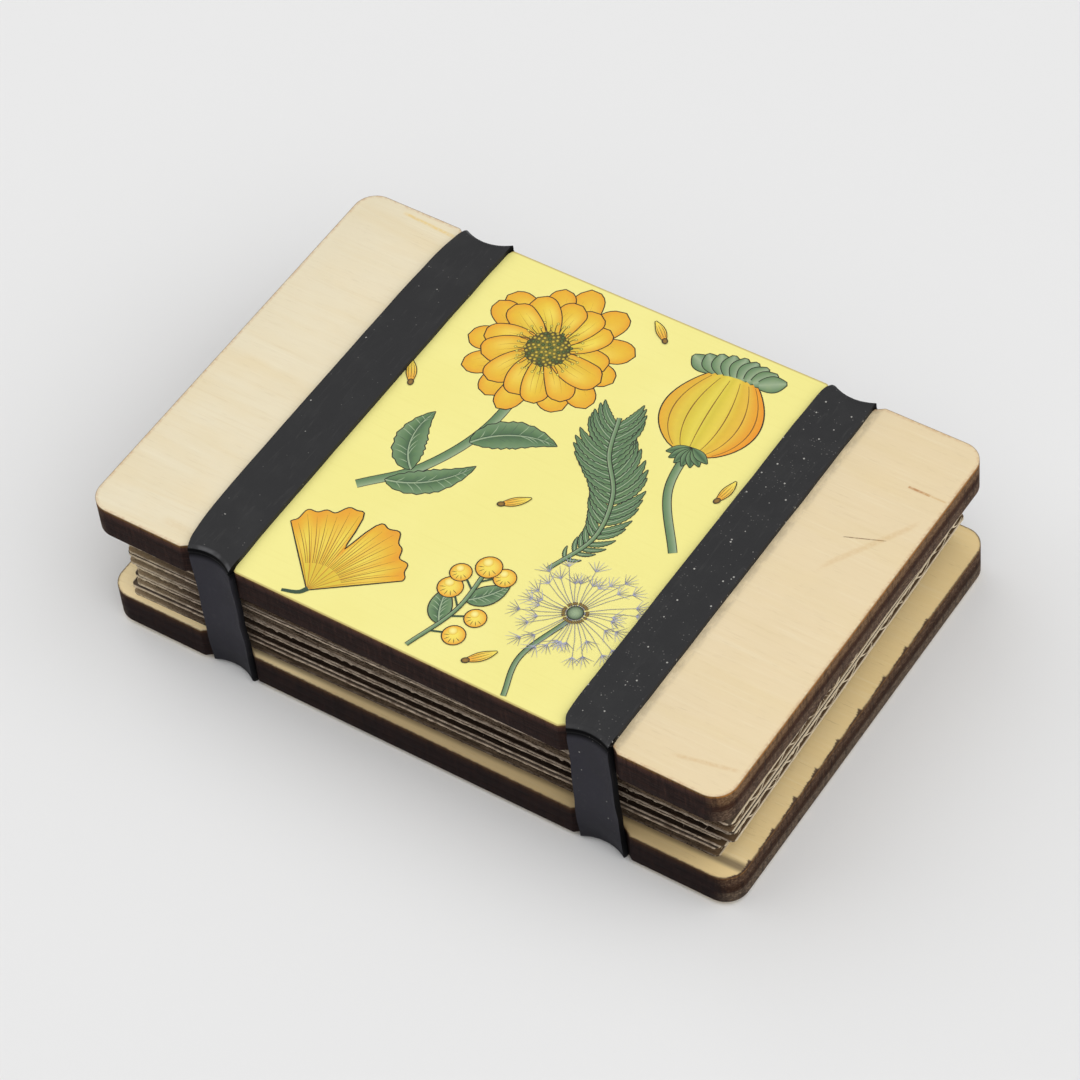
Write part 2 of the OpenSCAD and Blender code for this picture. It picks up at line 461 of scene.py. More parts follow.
def rubber(name, flat, strap, dust, painted_highlight, seed):
    """Dull charcoal rubber, bluer down the sides, with fluff, scuffs and dust specks. Each
    fold has a painted highlight along its ridge over a crease painted dark as shade; the
    lower sides and the thickness sides are darkened as painted shade. The share after the
    dust sets how bright the painted highlight is."""
    finish = Finish(name)
    at = finish.place(seed=seed)
    _, y, z = finish.parts(at)
    down = BAND_TOP - z
    cloud = finish.noise(at, 0.22, 4, 0.6)
    fine = finish.noise(at, 6, 3)
    scuff = finish.noise(finish.stretch(at, 1.3, 0.18, 1), 1, 4, 0.6, 0.6)
    inward = BAND_Y - abs(y)
    wall, fold = inward.ramp(3.2, 1.4), inward.ramp(2.1, 1.5)
    side = wall * down.ramp(0.3, 1.8)
    # Where the painted highlight on the fold's ridge and the painted shade in the crease below it
    # lie
    ridge = fold * down.ramp(0.5, 0.3) * down.ramp(-0.02, 0.15)
    crease = fold * down.ramp(2.8, 1.5) * down.ramp(0.3, 0.5)
    faces = finish.parts(finish.add("ShaderNodeNewGeometry", out="Normal"))
    flank_shade = abs(faces[0]).ramp(0.6, 0.9) * wall
    share = cloud.ramp(0.4, 0.62, 0.2, 1.6) * dust * (1 - side * 0.85)
    fleck, patch = finish.cells(at, 0.95), finish.parts(finish.cells(at, 0.95, "Color"))
    white = (1 - fleck.ramp(0.1, 0.2)) * (patch[0] + share).ramp(1, 1.005)
    speck, lot = finish.cells(at, 2.3), finish.parts(finish.cells(at, 2.3, "Color"))
    grit = (1 - speck.ramp(0.15, 0.3)) * (lot[1] + share).ramp(1, 1.005)
    tone = finish.coats(
        finish.mix(side, flat, strap),
        (cloud.ramp(0.4, 0.75) * 0.25, srgb(66, 66, 66)),
        (scuff.ramp(0.55, 0.8) * 0.2, srgb(88, 87, 86)),
        # Painted highlight along the fold's ridge
        (ridge * cloud.ramp(0.38, 0.62, 0.1, 1) * painted_highlight, srgb(104, 104, 106)),
        # Painted shade in the crease under the fold
        (crease * 0.97, srgb(2, 2, 3)),
        # Painted shade: the rubber darkens towards the bottom
        (down.ramp(16.4, 29.4) * 0.5, srgb(22, 22, 26)),
        # Painted shade on the thickness sides of the side straps
        (flank_shade * 0.95, srgb(3, 3, 4)),
        (grit * 0.35, srgb(138, 136, 132)),
        (white * 0.8, srgb(190, 188, 182)))
    height = fine * 0.4 + cloud * 0.6 + white * 0.8
    return finish.feed(Base_Color=tone, Roughness=cloud.ramp(0.3, 0.8, 0.5, 0.66),
                       Specular_IOR_Level=0.05, Normal=finish.bump(height, 0.06))


def kraft(name, colours, shares, inside, long, wide, thick, place, seed):
    """Laser-cut cardboard: pale torn paper at the cut, a hatched sooty wave between the
    liners, and the wave's washboard on the faces. In some sheets the wave's paper is also
    painted dark as shade of the hollows, and the liners' faces near the cut are darkened
    by soot that also stands as painted shade between the sheets. The shares tell how burnt
    the lower and the upper liner are along the sides."""
    pale, deep, soot_and_shade = colours
    finish = Finish(name)
    at = finish.place(place)
    x, y, z = finish.parts(at)
    own = finish.place(place, seed)
    fibres = finish.noise(finish.stretch(own, 0.5, 0.5, 3.2), 1, 4, 0.65)
    hatch = finish.noise(finish.stretch(own, 3.4, 3.4, 0.3), 1, 4, 0.7)
    strata = finish.noise(finish.stretch(own, 0.25, 4, 4), 1, 3, 0.6)
    fleck = finish.noise(own, 2.4, 3, 0.6)
    cloud = finish.noise(own, 0.12, 3)
    end, side = x.least(long - x), y.least(wide - y)
    rim = side.least(end)
    worn = 1 - x.ramp(2, 13)
    burnt = z.ramp(thick * 0.3, thick * 0.7, *shares) * side.ramp(3, 2)
    torn = finish.coats(
        finish.mix(fibres.ramp(0.35, 0.65), deep, pale),
        ((burnt + fleck.ramp(0.52, 0.72) * 0.5).least(1), soot_and_shade),
        ((1 - end.ramp(0.3, 1)) * 0.8, srgb(226, 210, 180)),
        (worn * fleck.ramp(0.4, 0.6, 0.3, 0.8), srgb(218, 202, 172)))
    liner = finish.coats(
        finish.mix(fibres.ramp(0.35, 0.7) * 0.6, deep, pale),
        (cloud.ramp(0.4, 0.7) * 0.25, srgb(196, 180, 156)),
        # Soot on the liners' faces near the cut, which also stands as painted shade in the gaps
        # between the sheets
        ((1 - rim.ramp(0.5, 2)) * 0.8, soot_and_shade))
    wave = finish.coats(
        finish.mix((hatch * 0.45 + strata * 0.55).ramp(0.42, 0.58), *inside),
        ((1 - end.ramp(0.5, 5)) * 0.75, srgb(112, 90, 66)),
        ((1 - x.ramp(8, 32)) * hatch.ramp(0.35, 0.6, 0.3, 0.8), srgb(122, 105, 88)),
        (worn * hatch.ramp(0.35, 0.6, 0.4, 0.9), srgb(166, 147, 118)))
    half = thick / 2 - LINER_T
    inner = 1 - abs(z - thick / 2).ramp(half + 0.02, half + 0.08)
    tone = finish.coats(liner, (inner, wave), (1 - rim.ramp(0.14, 0.26), torn))
    ribs = (y * (2 * math.pi / FLUTE_PITCH)).maths("SINE")
    height = ribs * 0.5 + fibres * 0.35
    return finish.feed(Base_Color=tone, Roughness=fibres.ramp(0.3, 0.7, 0.8, 0.95),
                       Specular_IOR_Level=0.06, Normal=finish.bump(height, 0.08))


def blotting(name, colour, long, wide, place, seed):
    """Soft off-white paper with a felted surface and a sooty rim."""
    finish = Finish(name)
    x, y, _ = finish.parts(finish.place(place))
    at = finish.place(place, seed)
    felt = finish.noise(at, 2.2, 4, 0.7)
    cloud = finish.noise(at, 0.08, 3)
    edge = x.least(long - x).least(y).least(wide - y)
    tone = finish.coats(
        colour,
        (felt.ramp(0.35, 0.7) * 0.5, srgb(196, 184, 160)),
        (cloud.ramp(0.45, 0.75) * 0.3, srgb(214, 202, 176)),
        ((1 - edge.ramp(0.2, 1.6)) * x.ramp(2, 12, 0.1, 0.85), srgb(66, 54, 43)))
    return finish.feed(Base_Color=tone, Roughness=felt.ramp(0.3, 0.7, 0.85, 0.95),
                       Specular_IOR_Level=0.1, Normal=finish.bump(felt, 0.05))


def floor_paint(name, colour):
    finish = Finish(name)
    at = finish.place()
    tooth = finish.noise(at, 0.4, 2)
    tone = finish.mix(tooth * 0.02, colour, srgb(225, 225, 225))
    return finish.feed(Base_Color=tone, Roughness=tooth.ramp(0.3, 0.7, 0.9, 0.95),
                       Specular_IOR_Level=0.1)


# Boards

def slab(low, high):
    """A board's outline with round corners and four notches, between two heights."""
    deselect()
    middle_z = (low + high) / 2
    bpy.ops.mesh.primitive_cube_add(size=1, location=(0, 0, middle_z),
                                    scale=(BOARD_L, BOARD_W, high - low))
    board = bpy.context.object
    bpy.ops.object.transform_apply(location=True, rotation=True, scale=True)
    pick(board, "EDGE", upright)
    bpy.ops.mesh.bevel(offset=CORNER_R, segments=12, affect="EDGES")
    done()
    for side in (-1, 1):
        for end in (-1, 1):
            deselect()
            bpy.ops.mesh.primitive_cylinder_add(
                vertices=192, radius=NOTCH_R, depth=high - low + 2,
                location=(end * NOTCH_X, side * (HALF_W + NOTCH_OUT), middle_z))
            cutter = bpy.context.object
            modify(board, "BOOLEAN", object=cutter, operation="DIFFERENCE", solver="EXACT")
            bpy.data.objects.remove(cutter)
    chord = math.sqrt(NOTCH_R ** 2 - NOTCH_OUT ** 2)

    def lip(edge):
        spot = edge.verts[0].co
        return (upright(edge) and abs(abs(spot.y) - HALF_W) < 0.01
                and abs(abs(abs(spot.x) - NOTCH_X) - chord) < 0.05)

    pick(board, "EDGE", lip)
    bpy.ops.mesh.bevel(offset=LIP_SETBACK, segments=4, affect="EDGES")
    done()
    return board


def cut_block(board, lo, hi, keep=False):
    """Cuts a block out of the board, or keeps only what lies inside it."""
    deselect()
    bpy.ops.mesh.primitive_cube_add(size=1, location=(lo + hi) / 2, scale=hi - lo)
    block = bpy.context.object
    modify(board, "BOOLEAN", object=block, solver="EXACT",
           operation="INTERSECT" if keep else "DIFFERENCE")
    bpy.data.objects.remove(block)


def glue_groove(board, height, depth):
    """A shallow groove right round the edge, where two plies meet."""
    for level in (height - GROOVE_HALF_W, height, height + GROOVE_HALF_W):
        pick(board, "FACE", lambda face: True)
        bpy.ops.mesh.bisect(plane_co=(0, 0, level), plane_no=(0, 0, 1))
        done()
    pick(board, "VERT", lambda vert: abs(vert.co.z - height) < 0.01)
    bpy.ops.transform.shrink_fatten(value=-depth)
    done()


def soften_rims(board, width):
    modify(board, "BEVEL", width=width, segments=2, limit_method="ANGLE",
           angle_limit=math.radians(60))


def face_finishes(board, face_finish, edge_finish):
    """The flat faces get the first finish, the cut edges the second."""
    board.data.materials.append(face_finish)
    board.data.materials.append(edge_finish)
    for face in board.data.polygons:
        face.material_index = 0 if abs(face.normal.z) > 0.9 else 1


def plywood(node, name, body, finishes, sizes, place, bed=0):
    """A plywood board over its node; its print, if it has one, lies in a bed on top."""
    lo, hi = box_mm(node)
    board = slab(lo.z, hi.z)
    for below in (sizes.first_glue, sizes.second_glue):
        glue_groove(board, hi.z - below / MM, sizes.groove / MM)
    soften_rims(board, sizes.rim / MM)
    if bed:
        cut_block(board, Vector((-NOTCH_X, -BOARD_W, hi.z - bed)),
                  Vector((NOTCH_X, BOARD_W, hi.z + 5)))
    settle(board, name, place)
    face_finishes(board, *finishes)
    hand_over(board, node, body)


# Rubber bands

def ease(value, start, end):
    share = min(1, max(0, (value - start) / (end - start)))
    return share * share * (3 - 2 * share)


# Stations along a strap, in from the side, and down a side, below the fold: they crowd
# towards the fold
STRAP_STATIONS = (38, 33, 28, 23, 18, 14, 11, 8.8, 7.2, 6, 5, 4.2, 3.6, 3.1, 2.7, 2.35, 2, 1.7,
                  1.4, 1.15)
SIDE_STATIONS = (0.65, 0.8, 0.95, 1.1, 1.3, 1.5, 1.75, 2, 2.3, 2.7, 3.2, 3.9, 5, 6.5, 8.5, 11)
POINTS_ACROSS = 17

# For each band: the x of its left and right edge on the strap, at the fold and low on the
# side, how far before the fold the strap narrows, and how much further back than the top
# board's the bottom board's front edge lies there
BAND_EDGES = {
    "band_left": {"strap": (-41.85, -31.6), "fold": (-40.2, -31.1), "low": (-40.1, -31.4),
                  "reach": 4.6, "front_slip": 0.34},
    "band_right": {"strap": (31.05, 40.35), "fold": (32.4, 40.4), "low": (32.2, 40.9),
                   "reach": 1.5, "front_slip": 0.66},
}


def half_loop(fold, height):
    """Stations from the middle of the top strap, down a side, to the middle of the lower
    strap, which turns on a wider fold. Each is the distance in from the side and the depth
    below the top."""
    def quarter(r):
        turns = [math.radians(15 * step) for step in range(7)]
        return ([(gap, 0) for gap in STRAP_STATIONS if gap > r + 0.1]
                + [(r - r * math.sin(turn), r - r * math.cos(turn)) for turn in turns]
                + [(0, drop) for drop in SIDE_STATIONS if drop > r + 0.1])

    lower = [(gap, height - drop) for gap, drop in reversed(quarter(2 * fold))]
    return quarter(fold) + [(0, height / 2)] + lower


def band_wall(off, depth, height, notch_y):
    """How far out a side strap's middle layer lies: it hugs the notch at both folds and lies
    flatter, nearly level with the boards' sides, between them."""
    hug = notch_y - math.sqrt(NOTCH_R ** 2 - off ** 2) + BAND_T / 2 + 0.05
    plain = BAND_Y - 1.1 + 0.7 * (off / 5) ** 2
    return hug + max(0, plain - hug) * ease(depth, 1, 0.4 * height) * ease(height - depth, 0, 7)


def band_x(edges, share, gap, depth, height):
    """Where a point lies across a band, for its share of the width."""
    slide = ease(depth, 1, height - 1)
    near = math.exp(-gap / edges["reach"])
    left, right = (strap + (fold + (low - fold) * slide - strap) * near
                   for strap, fold, low in zip(edges["strap"], edges["fold"], edges["low"]))
    return left + (right - left) * share


def strap_reach(edges, off, side, gap, depth, height, sizes):
    """How far out a strap's wall lies at a station, for a point off the notch's middle."""
    notch_y = BAND_Y + NOTCH_OUT
    if depth > height / 2 and side < 0:
        notch_y -= edges["front_slip"]
    elif side > 0:
        # The top board's back edge lies further in than the bottom board's
        notch_y -= BOARD_SLIP * (1 - ease(depth, 2, height - 2))
    wall = band_wall(off, depth, height, notch_y)
    # At the front the fold stands a little proud over the crease below it
    bulge = math.exp(-((depth - 0.35) / 0.35) ** 2) * (gap < 1 and side < 0)
    tuck = ease(depth, 1.1, 2.2) * (1 - ease(depth, 2.2, 9))
    wall += (sizes.bulge * bulge + sizes.tuck * tuck) / MM
    return wall + (BAND_Y - 1 - wall) * ease(gap, 2, 14)


def band(node, name, middle_x, finish, sizes, seed):
    """A flat loop laid over both boards and drawn into their notches."""
    lo, hi = box_mm(node)
    top = hi.z - BAND_T / 2
    height = hi.z - lo.z - BAND_T
    edges = BAND_EDGES[node]
    half = half_loop(sizes.fold_r / MM, height)
    loop = [(-1, gap, depth) for gap, depth in half]
    loop += [(1, gap, depth) for gap, depth in reversed(half[:-1])]
    deselect()
    bpy.ops.mesh.primitive_grid_add(x_subdivisions=len(loop) - 1,
                                    y_subdivisions=POINTS_ACROSS - 1, size=2)
    strip = bpy.context.object
    order = sorted(strip.data.vertices, key=lambda vert: (round(vert.co.x, 4),
                                                          round(vert.co.y, 4)))
    for place, vert in enumerate(order):
        side, gap, depth = loop[place // POINTS_ACROSS]
        share = place % POINTS_ACROSS / (POINTS_ACROSS - 1)
        x = band_x(edges, share, gap, depth, height)
        off = min(abs(x - middle_x), BAND_MIDDLE_R - 1.5)
        wall = strap_reach(edges, off, side, gap, depth, height, sizes)
        y = 0.0 if gap == half[0][0] else side * (wall - gap)
        z = top - depth
        wave = 0.07 * noise.noise(Vector((x * 0.3, y * 0.12, z * 0.2 + seed)))
        if depth == 0:
            z += wave + sizes.swell / MM * math.exp(-((gap - 1.4) / 1.1) ** 2)
        elif gap == 0:
            y += wave
        vert.co = (x + 0.1 * noise.noise(Vector((seed, y * 0.16, z * 0.3))), y, z)
    pick(strip, "VERT", lambda vert: True)
    bpy.ops.mesh.remove_doubles(threshold=0.01)
    bpy.ops.mesh.normals_make_consistent(inside=False)
    done()
    modify(strip, "SOLIDIFY", thickness=BAND_T, offset=0, use_even_offset=True)
    modify(strip, "BEVEL", width=0.22, segments=3, limit_method="ANGLE",
           angle_limit=math.radians(60))
    settle(strip, name, smooth=60)
    strip.data.materials.append(finish)
    hand_over(strip, node, node)


# Sheets

def sheet_place(node):
    """Length, width, thickness and place of a loose sheet, from its CAD node's corners."""
    points = [vert.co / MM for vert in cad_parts[node].data.vertices]
    front_left = min(points, key=lambda p: (round(p.y, 2), p.x))
    front_right = max(points, key=lambda p: (round(p.x, 2), -p.y))
    back_left = min(points, key=lambda p: (round(p.x, 2), -p.y))
    low = min(p.z for p in points)
    high = max(p.z for p in points)
    along = Vector((front_right.x - front_left.x, front_right.y - front_left.y, 0))
    up = Vector((back_left.x - front_left.x, back_left.y - front_left.y, 0))
    turn = math.atan2(along.y, along.x)
    place = (Matrix.Translation((front_left.x, front_left.y, low))
             @ Matrix.Rotation(turn, 4, "Z"))
    return along.length, up.length, high - low, place


def to_perimeter(share, long, wide):
    """A point on a rectangle's outline, for a share of the way round it."""
    run = share * 2 * (long + wide)
    if run < long:
        return run, 0.0
    run -= long
    if run < wide:
        return long, run
    run -= wide
    if run < long:
        return long - run, wide
    return 0.0, wide - (run - long)


def rounded(x, y, long, wide, r):
    """A point of a rectangle's outline, drawn in where it lies near a round corner."""
    across = max(0, abs(x - long / 2) - long / 2 + r)
    along = max(0, abs(y - wide / 2) - wide / 2 + r)
    past = math.hypot(across, along)
    if past <= r:
        return x, y
    x -= math.copysign(across * (1 - r / past), x - long / 2)
    y -= math.copysign(along * (1 - r / past), y - wide / 2)
    return x, y


def torn_sheet(long, wide, low, high, seed, fray, tooth, spacing=0.28):
    """A thin sheet whose cut edges are frayed; teeth hang from its lower rim."""
    count = int(2 * (long + wide) / spacing)
    deselect()
    bpy.ops.mesh.primitive_circle_add(vertices=count, radius=1, fill_type="NGON")
    sheet = bpy.context.object
    for i, vert in enumerate(sheet.data.vertices):
        vert.co = (*rounded(*to_perimeter(i / count, long, wide), long, wide, SHEET_CORNER_R),
                   low)
    pick(sheet, "FACE", lambda face: True)
    bpy.ops.mesh.inset(thickness=0.6 * SHEET_CORNER_R, use_even_offset=True)
    bpy.ops.mesh.select_all(action="SELECT")
    bpy.ops.mesh.extrude_region_move(TRANSFORM_OT_translate={"value": (0, 0, high - low)})
    bpy.ops.mesh.select_all(action="SELECT")
    bpy.ops.mesh.normals_make_consistent(inside=False)
    done()
    for vert in sheet.data.vertices:
        x, y, z = vert.co
        inward = Vector(((x < 0.01) - (x > long - 0.01), (y < 0.01) - (y > wide - 0.01), 0))
        if inward.length < 0.5:
            continue
        upper = z > (low + high) / 2
        broad = rand_noise(x * 0.13, y * 0.13, seed)
        fine = rand_noise(x * 1.9, y * 1.9, seed + (3.7 if upper else 0))
        vert.co += inward * fray * (0.7 * broad + 0.6 * fine ** 2)
        if upper:
            vert.co.z += 0.03 * (fine - 0.5)
        elif tooth:
            ragged = max(0, rand_noise(x * 1.1, y * 1.1, seed + 9) - 0.45) / 0.25
            torn = ease(rand_noise(x * 0.09, y * 0.09, seed + 21), 0.35, 0.65)
            vert.co.z -= tooth * min(1.2, ragged) * (0.3 + 0.7 * torn)
    return sheet


def flutes(long, wide, thick, start, seed, drift):
    """The wavy paper inside a cardboard, with torn ends, lying at a slight angle to the cut."""
    runs = int(long / 0.5)
    deselect()
    bpy.ops.mesh.primitive_grid_add(x_subdivisions=runs,
                                    y_subdivisions=int(wide / FLUTE_PITCH * 9), size=2)
    wave = bpy.context.object
    reach = thick / 2 - LINER_T - FLUTE_T / 2 + 0.04
    for vert in wave.data.vertices:
        u, v = (vert.co.x + 1) / 2, (vert.co.y + 1) / 2
        x, y = rounded(u * long, v * wide, long, wide, SHEET_CORNER_R + 0.3)
        if min(v, 1 - v) < 0.001:
            broad, fine = rand_noise(x * 0.16, y, seed), rand_noise(x * 1.7, y, seed + 4)
            y += (0.1 + 0.7 * broad + 0.35 * fine) * (1 if v < 0.5 else -1)
        if min(u, 1 - u) < 0.001:
            x += (0.05 + 0.25 * rand_noise(x, y * 2.2, seed)) * (1 if u < 0.5 else -1)
        height = math.sin(2 * math.pi * (y / FLUTE_PITCH + start + drift * u))
        vert.co = (x, y, thick / 2 + reach * height)
    modify(wave, "SOLIDIFY", thickness=FLUTE_T, offset=0)
    return wave


def spike(shape, root, aim, bend, size, girth):
    """Adds a thin bent spike with four sides to a shape."""
    side = aim.cross(Vector((0, 0, 1))).normalized()
    up = side.cross(aim).normalized()
    rings = []
    for step, thin in enumerate((1, 0.8, 0.45)):
        share = step / 3
        middle = root + aim * size * share + bend * size * share * share
        rings.append([shape.verts.new(middle + (side * a + up * b * 0.6) * girth * thin)
                      for a, b in ((1, 0), (0, 1), (-1, 0), (0, -1))])
    tip = shape.verts.new(root + aim * size + bend * size)
    shape.faces.new(rings[0][::-1])
    for low, high in zip(rings, rings[1:]):
        for k in range(4):
            shape.faces.new((low[k], low[(k + 1) % 4], high[(k + 1) % 4], high[k]))
    for k in range(4):
        shape.faces.new((rings[-1][k], rings[-1][(k + 1) % 4], tip))


def whiskers(long, wide, levels, count, seed):
    """Torn fibres and flakes that stand out from a sheet's cut edges, mostly at its ends."""
    draw = random.Random(seed)
    shape = bmesh.new()
    for _ in range(count):
        if draw.random() < 0.7:
            u = draw.choice((0, long, long))
            v = draw.uniform(0.5, wide - 0.5)
            out = Vector((1 if u else -1, 0, 0))
        else:
            u = draw.uniform(0.5, long - 0.5)
            v = draw.choice((0, 0, wide))
            out = Vector((0, 1 if v else -1, 0))
        level = draw.choice(levels)
        size = draw.uniform(0.3, 0.8) if draw.random() < 0.85 else draw.uniform(0.8, 1.5)
        aim = (out * draw.uniform(0.2, 0.5) + Vector((-out.y, out.x, 0)) * draw.uniform(-1, 1)
               + Vector((0, 0, draw.uniform(-0.55, 0.55)))).normalized()
        bend = Vector((draw.uniform(-0.3, 0.3), draw.uniform(-0.3, 0.3), draw.uniform(-0.25, 0.2)))
        root = Vector((u, v, level)) - out * 0.35
        # The left end's fibres are coarser
        girth = draw.uniform(0.04, 0.08) * (1 if u else 2.5)
        spike(shape, root, aim, bend, size, girth)
    bmesh.ops.recalc_face_normals(shape, faces=shape.faces)
    mesh = bpy.data.meshes.new("whiskers")
    shape.to_mesh(mesh)
    shape.free()
    piece = bpy.data.objects.new("whiskers", mesh)
    bpy.context.scene.collection.objects.link(piece)
    return piece


# Drawing on the print

QUARTER_TURN = math.pi / 2
GOLDEN_ANGLE = 2.39996

INK = srgb(26, 24, 18)
LEAF = srgb(92, 126, 84)
LEAF_DARK = srgb(48, 74, 54)
LEAF_PALE = srgb(152, 172, 138)
PETAL_RIM = srgb(233, 158, 38)
PETAL = srgb(232, 190, 48)
PETAL_PALE = srgb(246, 226, 96)
PETAL_GREEN = srgb(214, 196, 62)
FLINT = srgb(128, 130, 152)
FLINT_PALE = srgb(172, 174, 196)


class Drawing:
    """Inked shapes laid one over another, each a hair higher than the last."""

    def __init__(self, base, step):
        self.height, self.step = base, step
        self.points, self.faces, self.tints = [], [], []

    def rows(self, rows, tint):
        """A patch from rows of points; tint gives a colour for two shares."""
        self.height += self.step
        start, n, m = len(self.points), len(rows), len(rows[0])
        for i, row in enumerate(rows):
            for j, (x, y) in enumerate(row):
                self.points.append((x, y, self.height))
                self.tints.append(tint(i / (n - 1), j / (m - 1)))
        for i in range(n - 1):
            for j in range(m - 1):
                a = start + i * m + j
                self.faces.append((a, a + 1, a + m + 1, a + m))

    def blade(self, line, widths, tint, parts, lean=0):
        """A leaf or petal along a line of points, with a half width at each point."""
        rows = []
        for k, (point, width) in enumerate(zip(line, widths)):
            before, after = line[max(k - 1, 0)], line[min(k + 1, len(line) - 1)]
            along = (after - before).normalized()
            side = Vector((-along.y, along.x))
            rows.append([point + side * width * (2 * j / parts - 1 + lean)
                         for j in range(parts + 1)])
        self.rows(rows, tint)
        return [row[0] for row in rows], [row[-1] for row in rows]

    def stroke(self, line, width, colour, taper=(0.35, 1, 0.2)):
        """A pen line that swells in the middle."""
        start, middle, end = taper
        widths = []
        for share in even(len(line)):
            if share < 0.5:
                swell = start + (middle - start) * share * 2
            else:
                swell = middle + (end - middle) * (share * 2 - 1)
            widths.append(width / 2 * swell)
        self.blade(line, widths, lambda i, j: colour, 1)

    def outline(self, line, width):
        self.stroke(line, width, INK, (0.8, 1, 0.8))

    def sides(self, left, right, width):
        """Inks the two edges of a blade."""
        self.outline(left, width)
        self.outline(right, width)

    def rim(self, left, right, width):
        """Inks a blade's edges in one line round its tip."""
        self.outline(left + right[::-1], width)

    def circle(self, centre, radius, parts, squash, turn):
        """Points round a circle, or round an ellipse when it is squashed."""
        line = []
        for k in range(parts + 1):
            angle = 2 * math.pi * k / parts
            p = Vector((radius * math.cos(angle), radius * squash * math.sin(angle)))
            p.rotate(Matrix.Rotation(turn, 2))
            line.append(centre + p)
        return line

    def disc(self, centre, radius, middle, rim, parts, squash=1, turn=0):
        rows = [self.circle(centre, radius * ring / 3, parts, squash, turn) for ring in range(4)]
        self.rows(rows, lambda i, j: lerp(middle, rim, i * i))

    def ring(self, centre, radius, width, squash=1, turn=0, parts=20):
        self.outline(self.circle(centre, radius, parts, squash, turn), width)


def lerp(a, b, share):
    return tuple(p + (q - p) * share for p, q in zip(a, b))


def even(count):
    """Even shares from 0 to 1."""
    return [k / (count - 1) for k in range(count)]


def bend_line(points, count):
    """A smooth line through points, with an even count of samples."""
    points = [Vector(p) for p in points]
    ends = [points[0] * 2 - points[1]] + points + [points[-1] * 2 - points[-2]]
    line = []
    for share in even(count):
        run = share * (len(points) - 1)
        i = min(int(run), len(points) - 2)
        t = run - i
        a, b, c, d = ends[i:i + 4]
        line.append(0.5 * (2 * b + (c - a) * t + (2 * a - 5 * b + 4 * c - d) * t ** 2
                           + (3 * b - a - 3 * c + d) * t ** 3))
    return line


def heading(angle, length=1):
    return Vector((math.cos(angle), math.sin(angle))) * length


def leaf_tint(i, j):
    side = abs(2 * j - 1)
    tone = lerp(LEAF, LEAF_DARK, 0.75 * (1 - side) ** 3)
    return lerp(tone, LEAF_PALE, 0.55 * max(0, side - 0.35) * math.sin(math.pi * i))


def draw_leaf(art, start, angle, length, width, curl, teeth, seed):
    """A leaf with a midrib, side veins and an inked edge."""
    steps = even(26)
    line = [start + heading(angle + curl * share, length * share) for share in steps]
    widths = [width * math.sin(math.pi * share ** 0.8) ** 0.85 * (1 - 0.16 * (share * teeth % 1))
              + 0.02 for share in steps]
    left, right = art.blade(line, widths, leaf_tint, 8)
    draw = random.Random(seed)
    for share in [0.14 + 0.105 * n for n in range(8)]:
        k = int(share * (len(line) - 1))
        base, reach = line[k], widths[k] * 0.86
        for side in (-1, 1):
            tip = base + heading(angle + curl * share + side * 0.75, reach * 1.25)
            bend = base.lerp(tip, 0.5) + heading(angle, 0.12 * reach)
            art.stroke(bend_line([base, bend, tip], 5), 0.16,
                       lerp(LEAF_PALE, LEAF_DARK, draw.choice((0.0, 0.0, 0.8))))
    art.stroke(line, 0.42, LEAF_PALE, (1, 0.7, 0.1))
    shade = [p + heading(angle + QUARTER_TURN, 0.16) for p in line]
    art.stroke(shade, 0.12, LEAF_DARK, (1, 1, 0.2))
    art.sides(left, right, 0.2)


def draw_stem(art, points, width):
    line = bend_line(points, 30)
    for shade in (LEAF_DARK, LEAF):
        left, right = art.blade(line, [width / 2] * 30,
                                lambda i, j: lerp(shade, LEAF_PALE, j ** 1.5), 4)
    art.outline(left, 0.17)
    art.outline(right, 0.15)


def petal_tint(shade):
    """Colours of a petal: greenish at its root, orange at its rim, with a pale gloss."""
    def tint(i, j):
        gloss = 0.75 * math.exp(-((i - 0.55) / 0.2) ** 2) * math.exp(-((j - 0.3) / 0.25) ** 2)
        tone = lerp(PETAL_GREEN, PETAL, min(1, i * 1.3))
        tone = lerp(tone, PETAL_PALE, gloss)
        tone = lerp(tone, PETAL_RIM, min(1, abs(2 * j - 1) ** 3 * 0.9 + max(0, i - 0.8) * 3))
        return lerp(tone, PETAL_RIM, shade(i))
    return tint


def draw_petal(art, centre, radius, angle, reach, draw):
    """A long petal with three veins, from near the flower's centre outwards."""
    root = 0.16 * radius
    length = radius * reach * draw.uniform(0.92, 1.04)
    curl = draw.uniform(-0.22, 0.22)
    steps = even(18)
    line = [centre + heading(angle + curl * share ** 2, root + (length - root) * share)
            for share in steps]
    girth = radius * 0.185 * draw.uniform(0.9, 1.1)
    widths = [girth * (0.35 + 0.65 * math.sin(math.pi * min(1, 0.12 + 0.62 * share)))
              * math.sqrt(max(0.0, 1 - max(0, (share - 0.78) / 0.22) ** 2)) + 0.02
              for share in steps]
    dusk, shadow = draw.uniform(0, 0.25), 0.35 if reach == 1 else 0
    left, right = art.blade(line, widths, petal_tint(lambda i: dusk + shadow * (1 - i)), 8)
    for off in (-0.35, 0.05, 0.4):
        vein = [p + heading(angle + QUARTER_TURN, girth * off * math.sin(0.4 + 2.2 * share))
                for p, share in zip(line, steps)][1:11 + draw.randint(0, 4)]
        art.stroke(vein, 0.12, lerp(PETAL_RIM, INK, 0.45), (1, 0.7, 0.1))
    art.rim(left, right, 0.2)


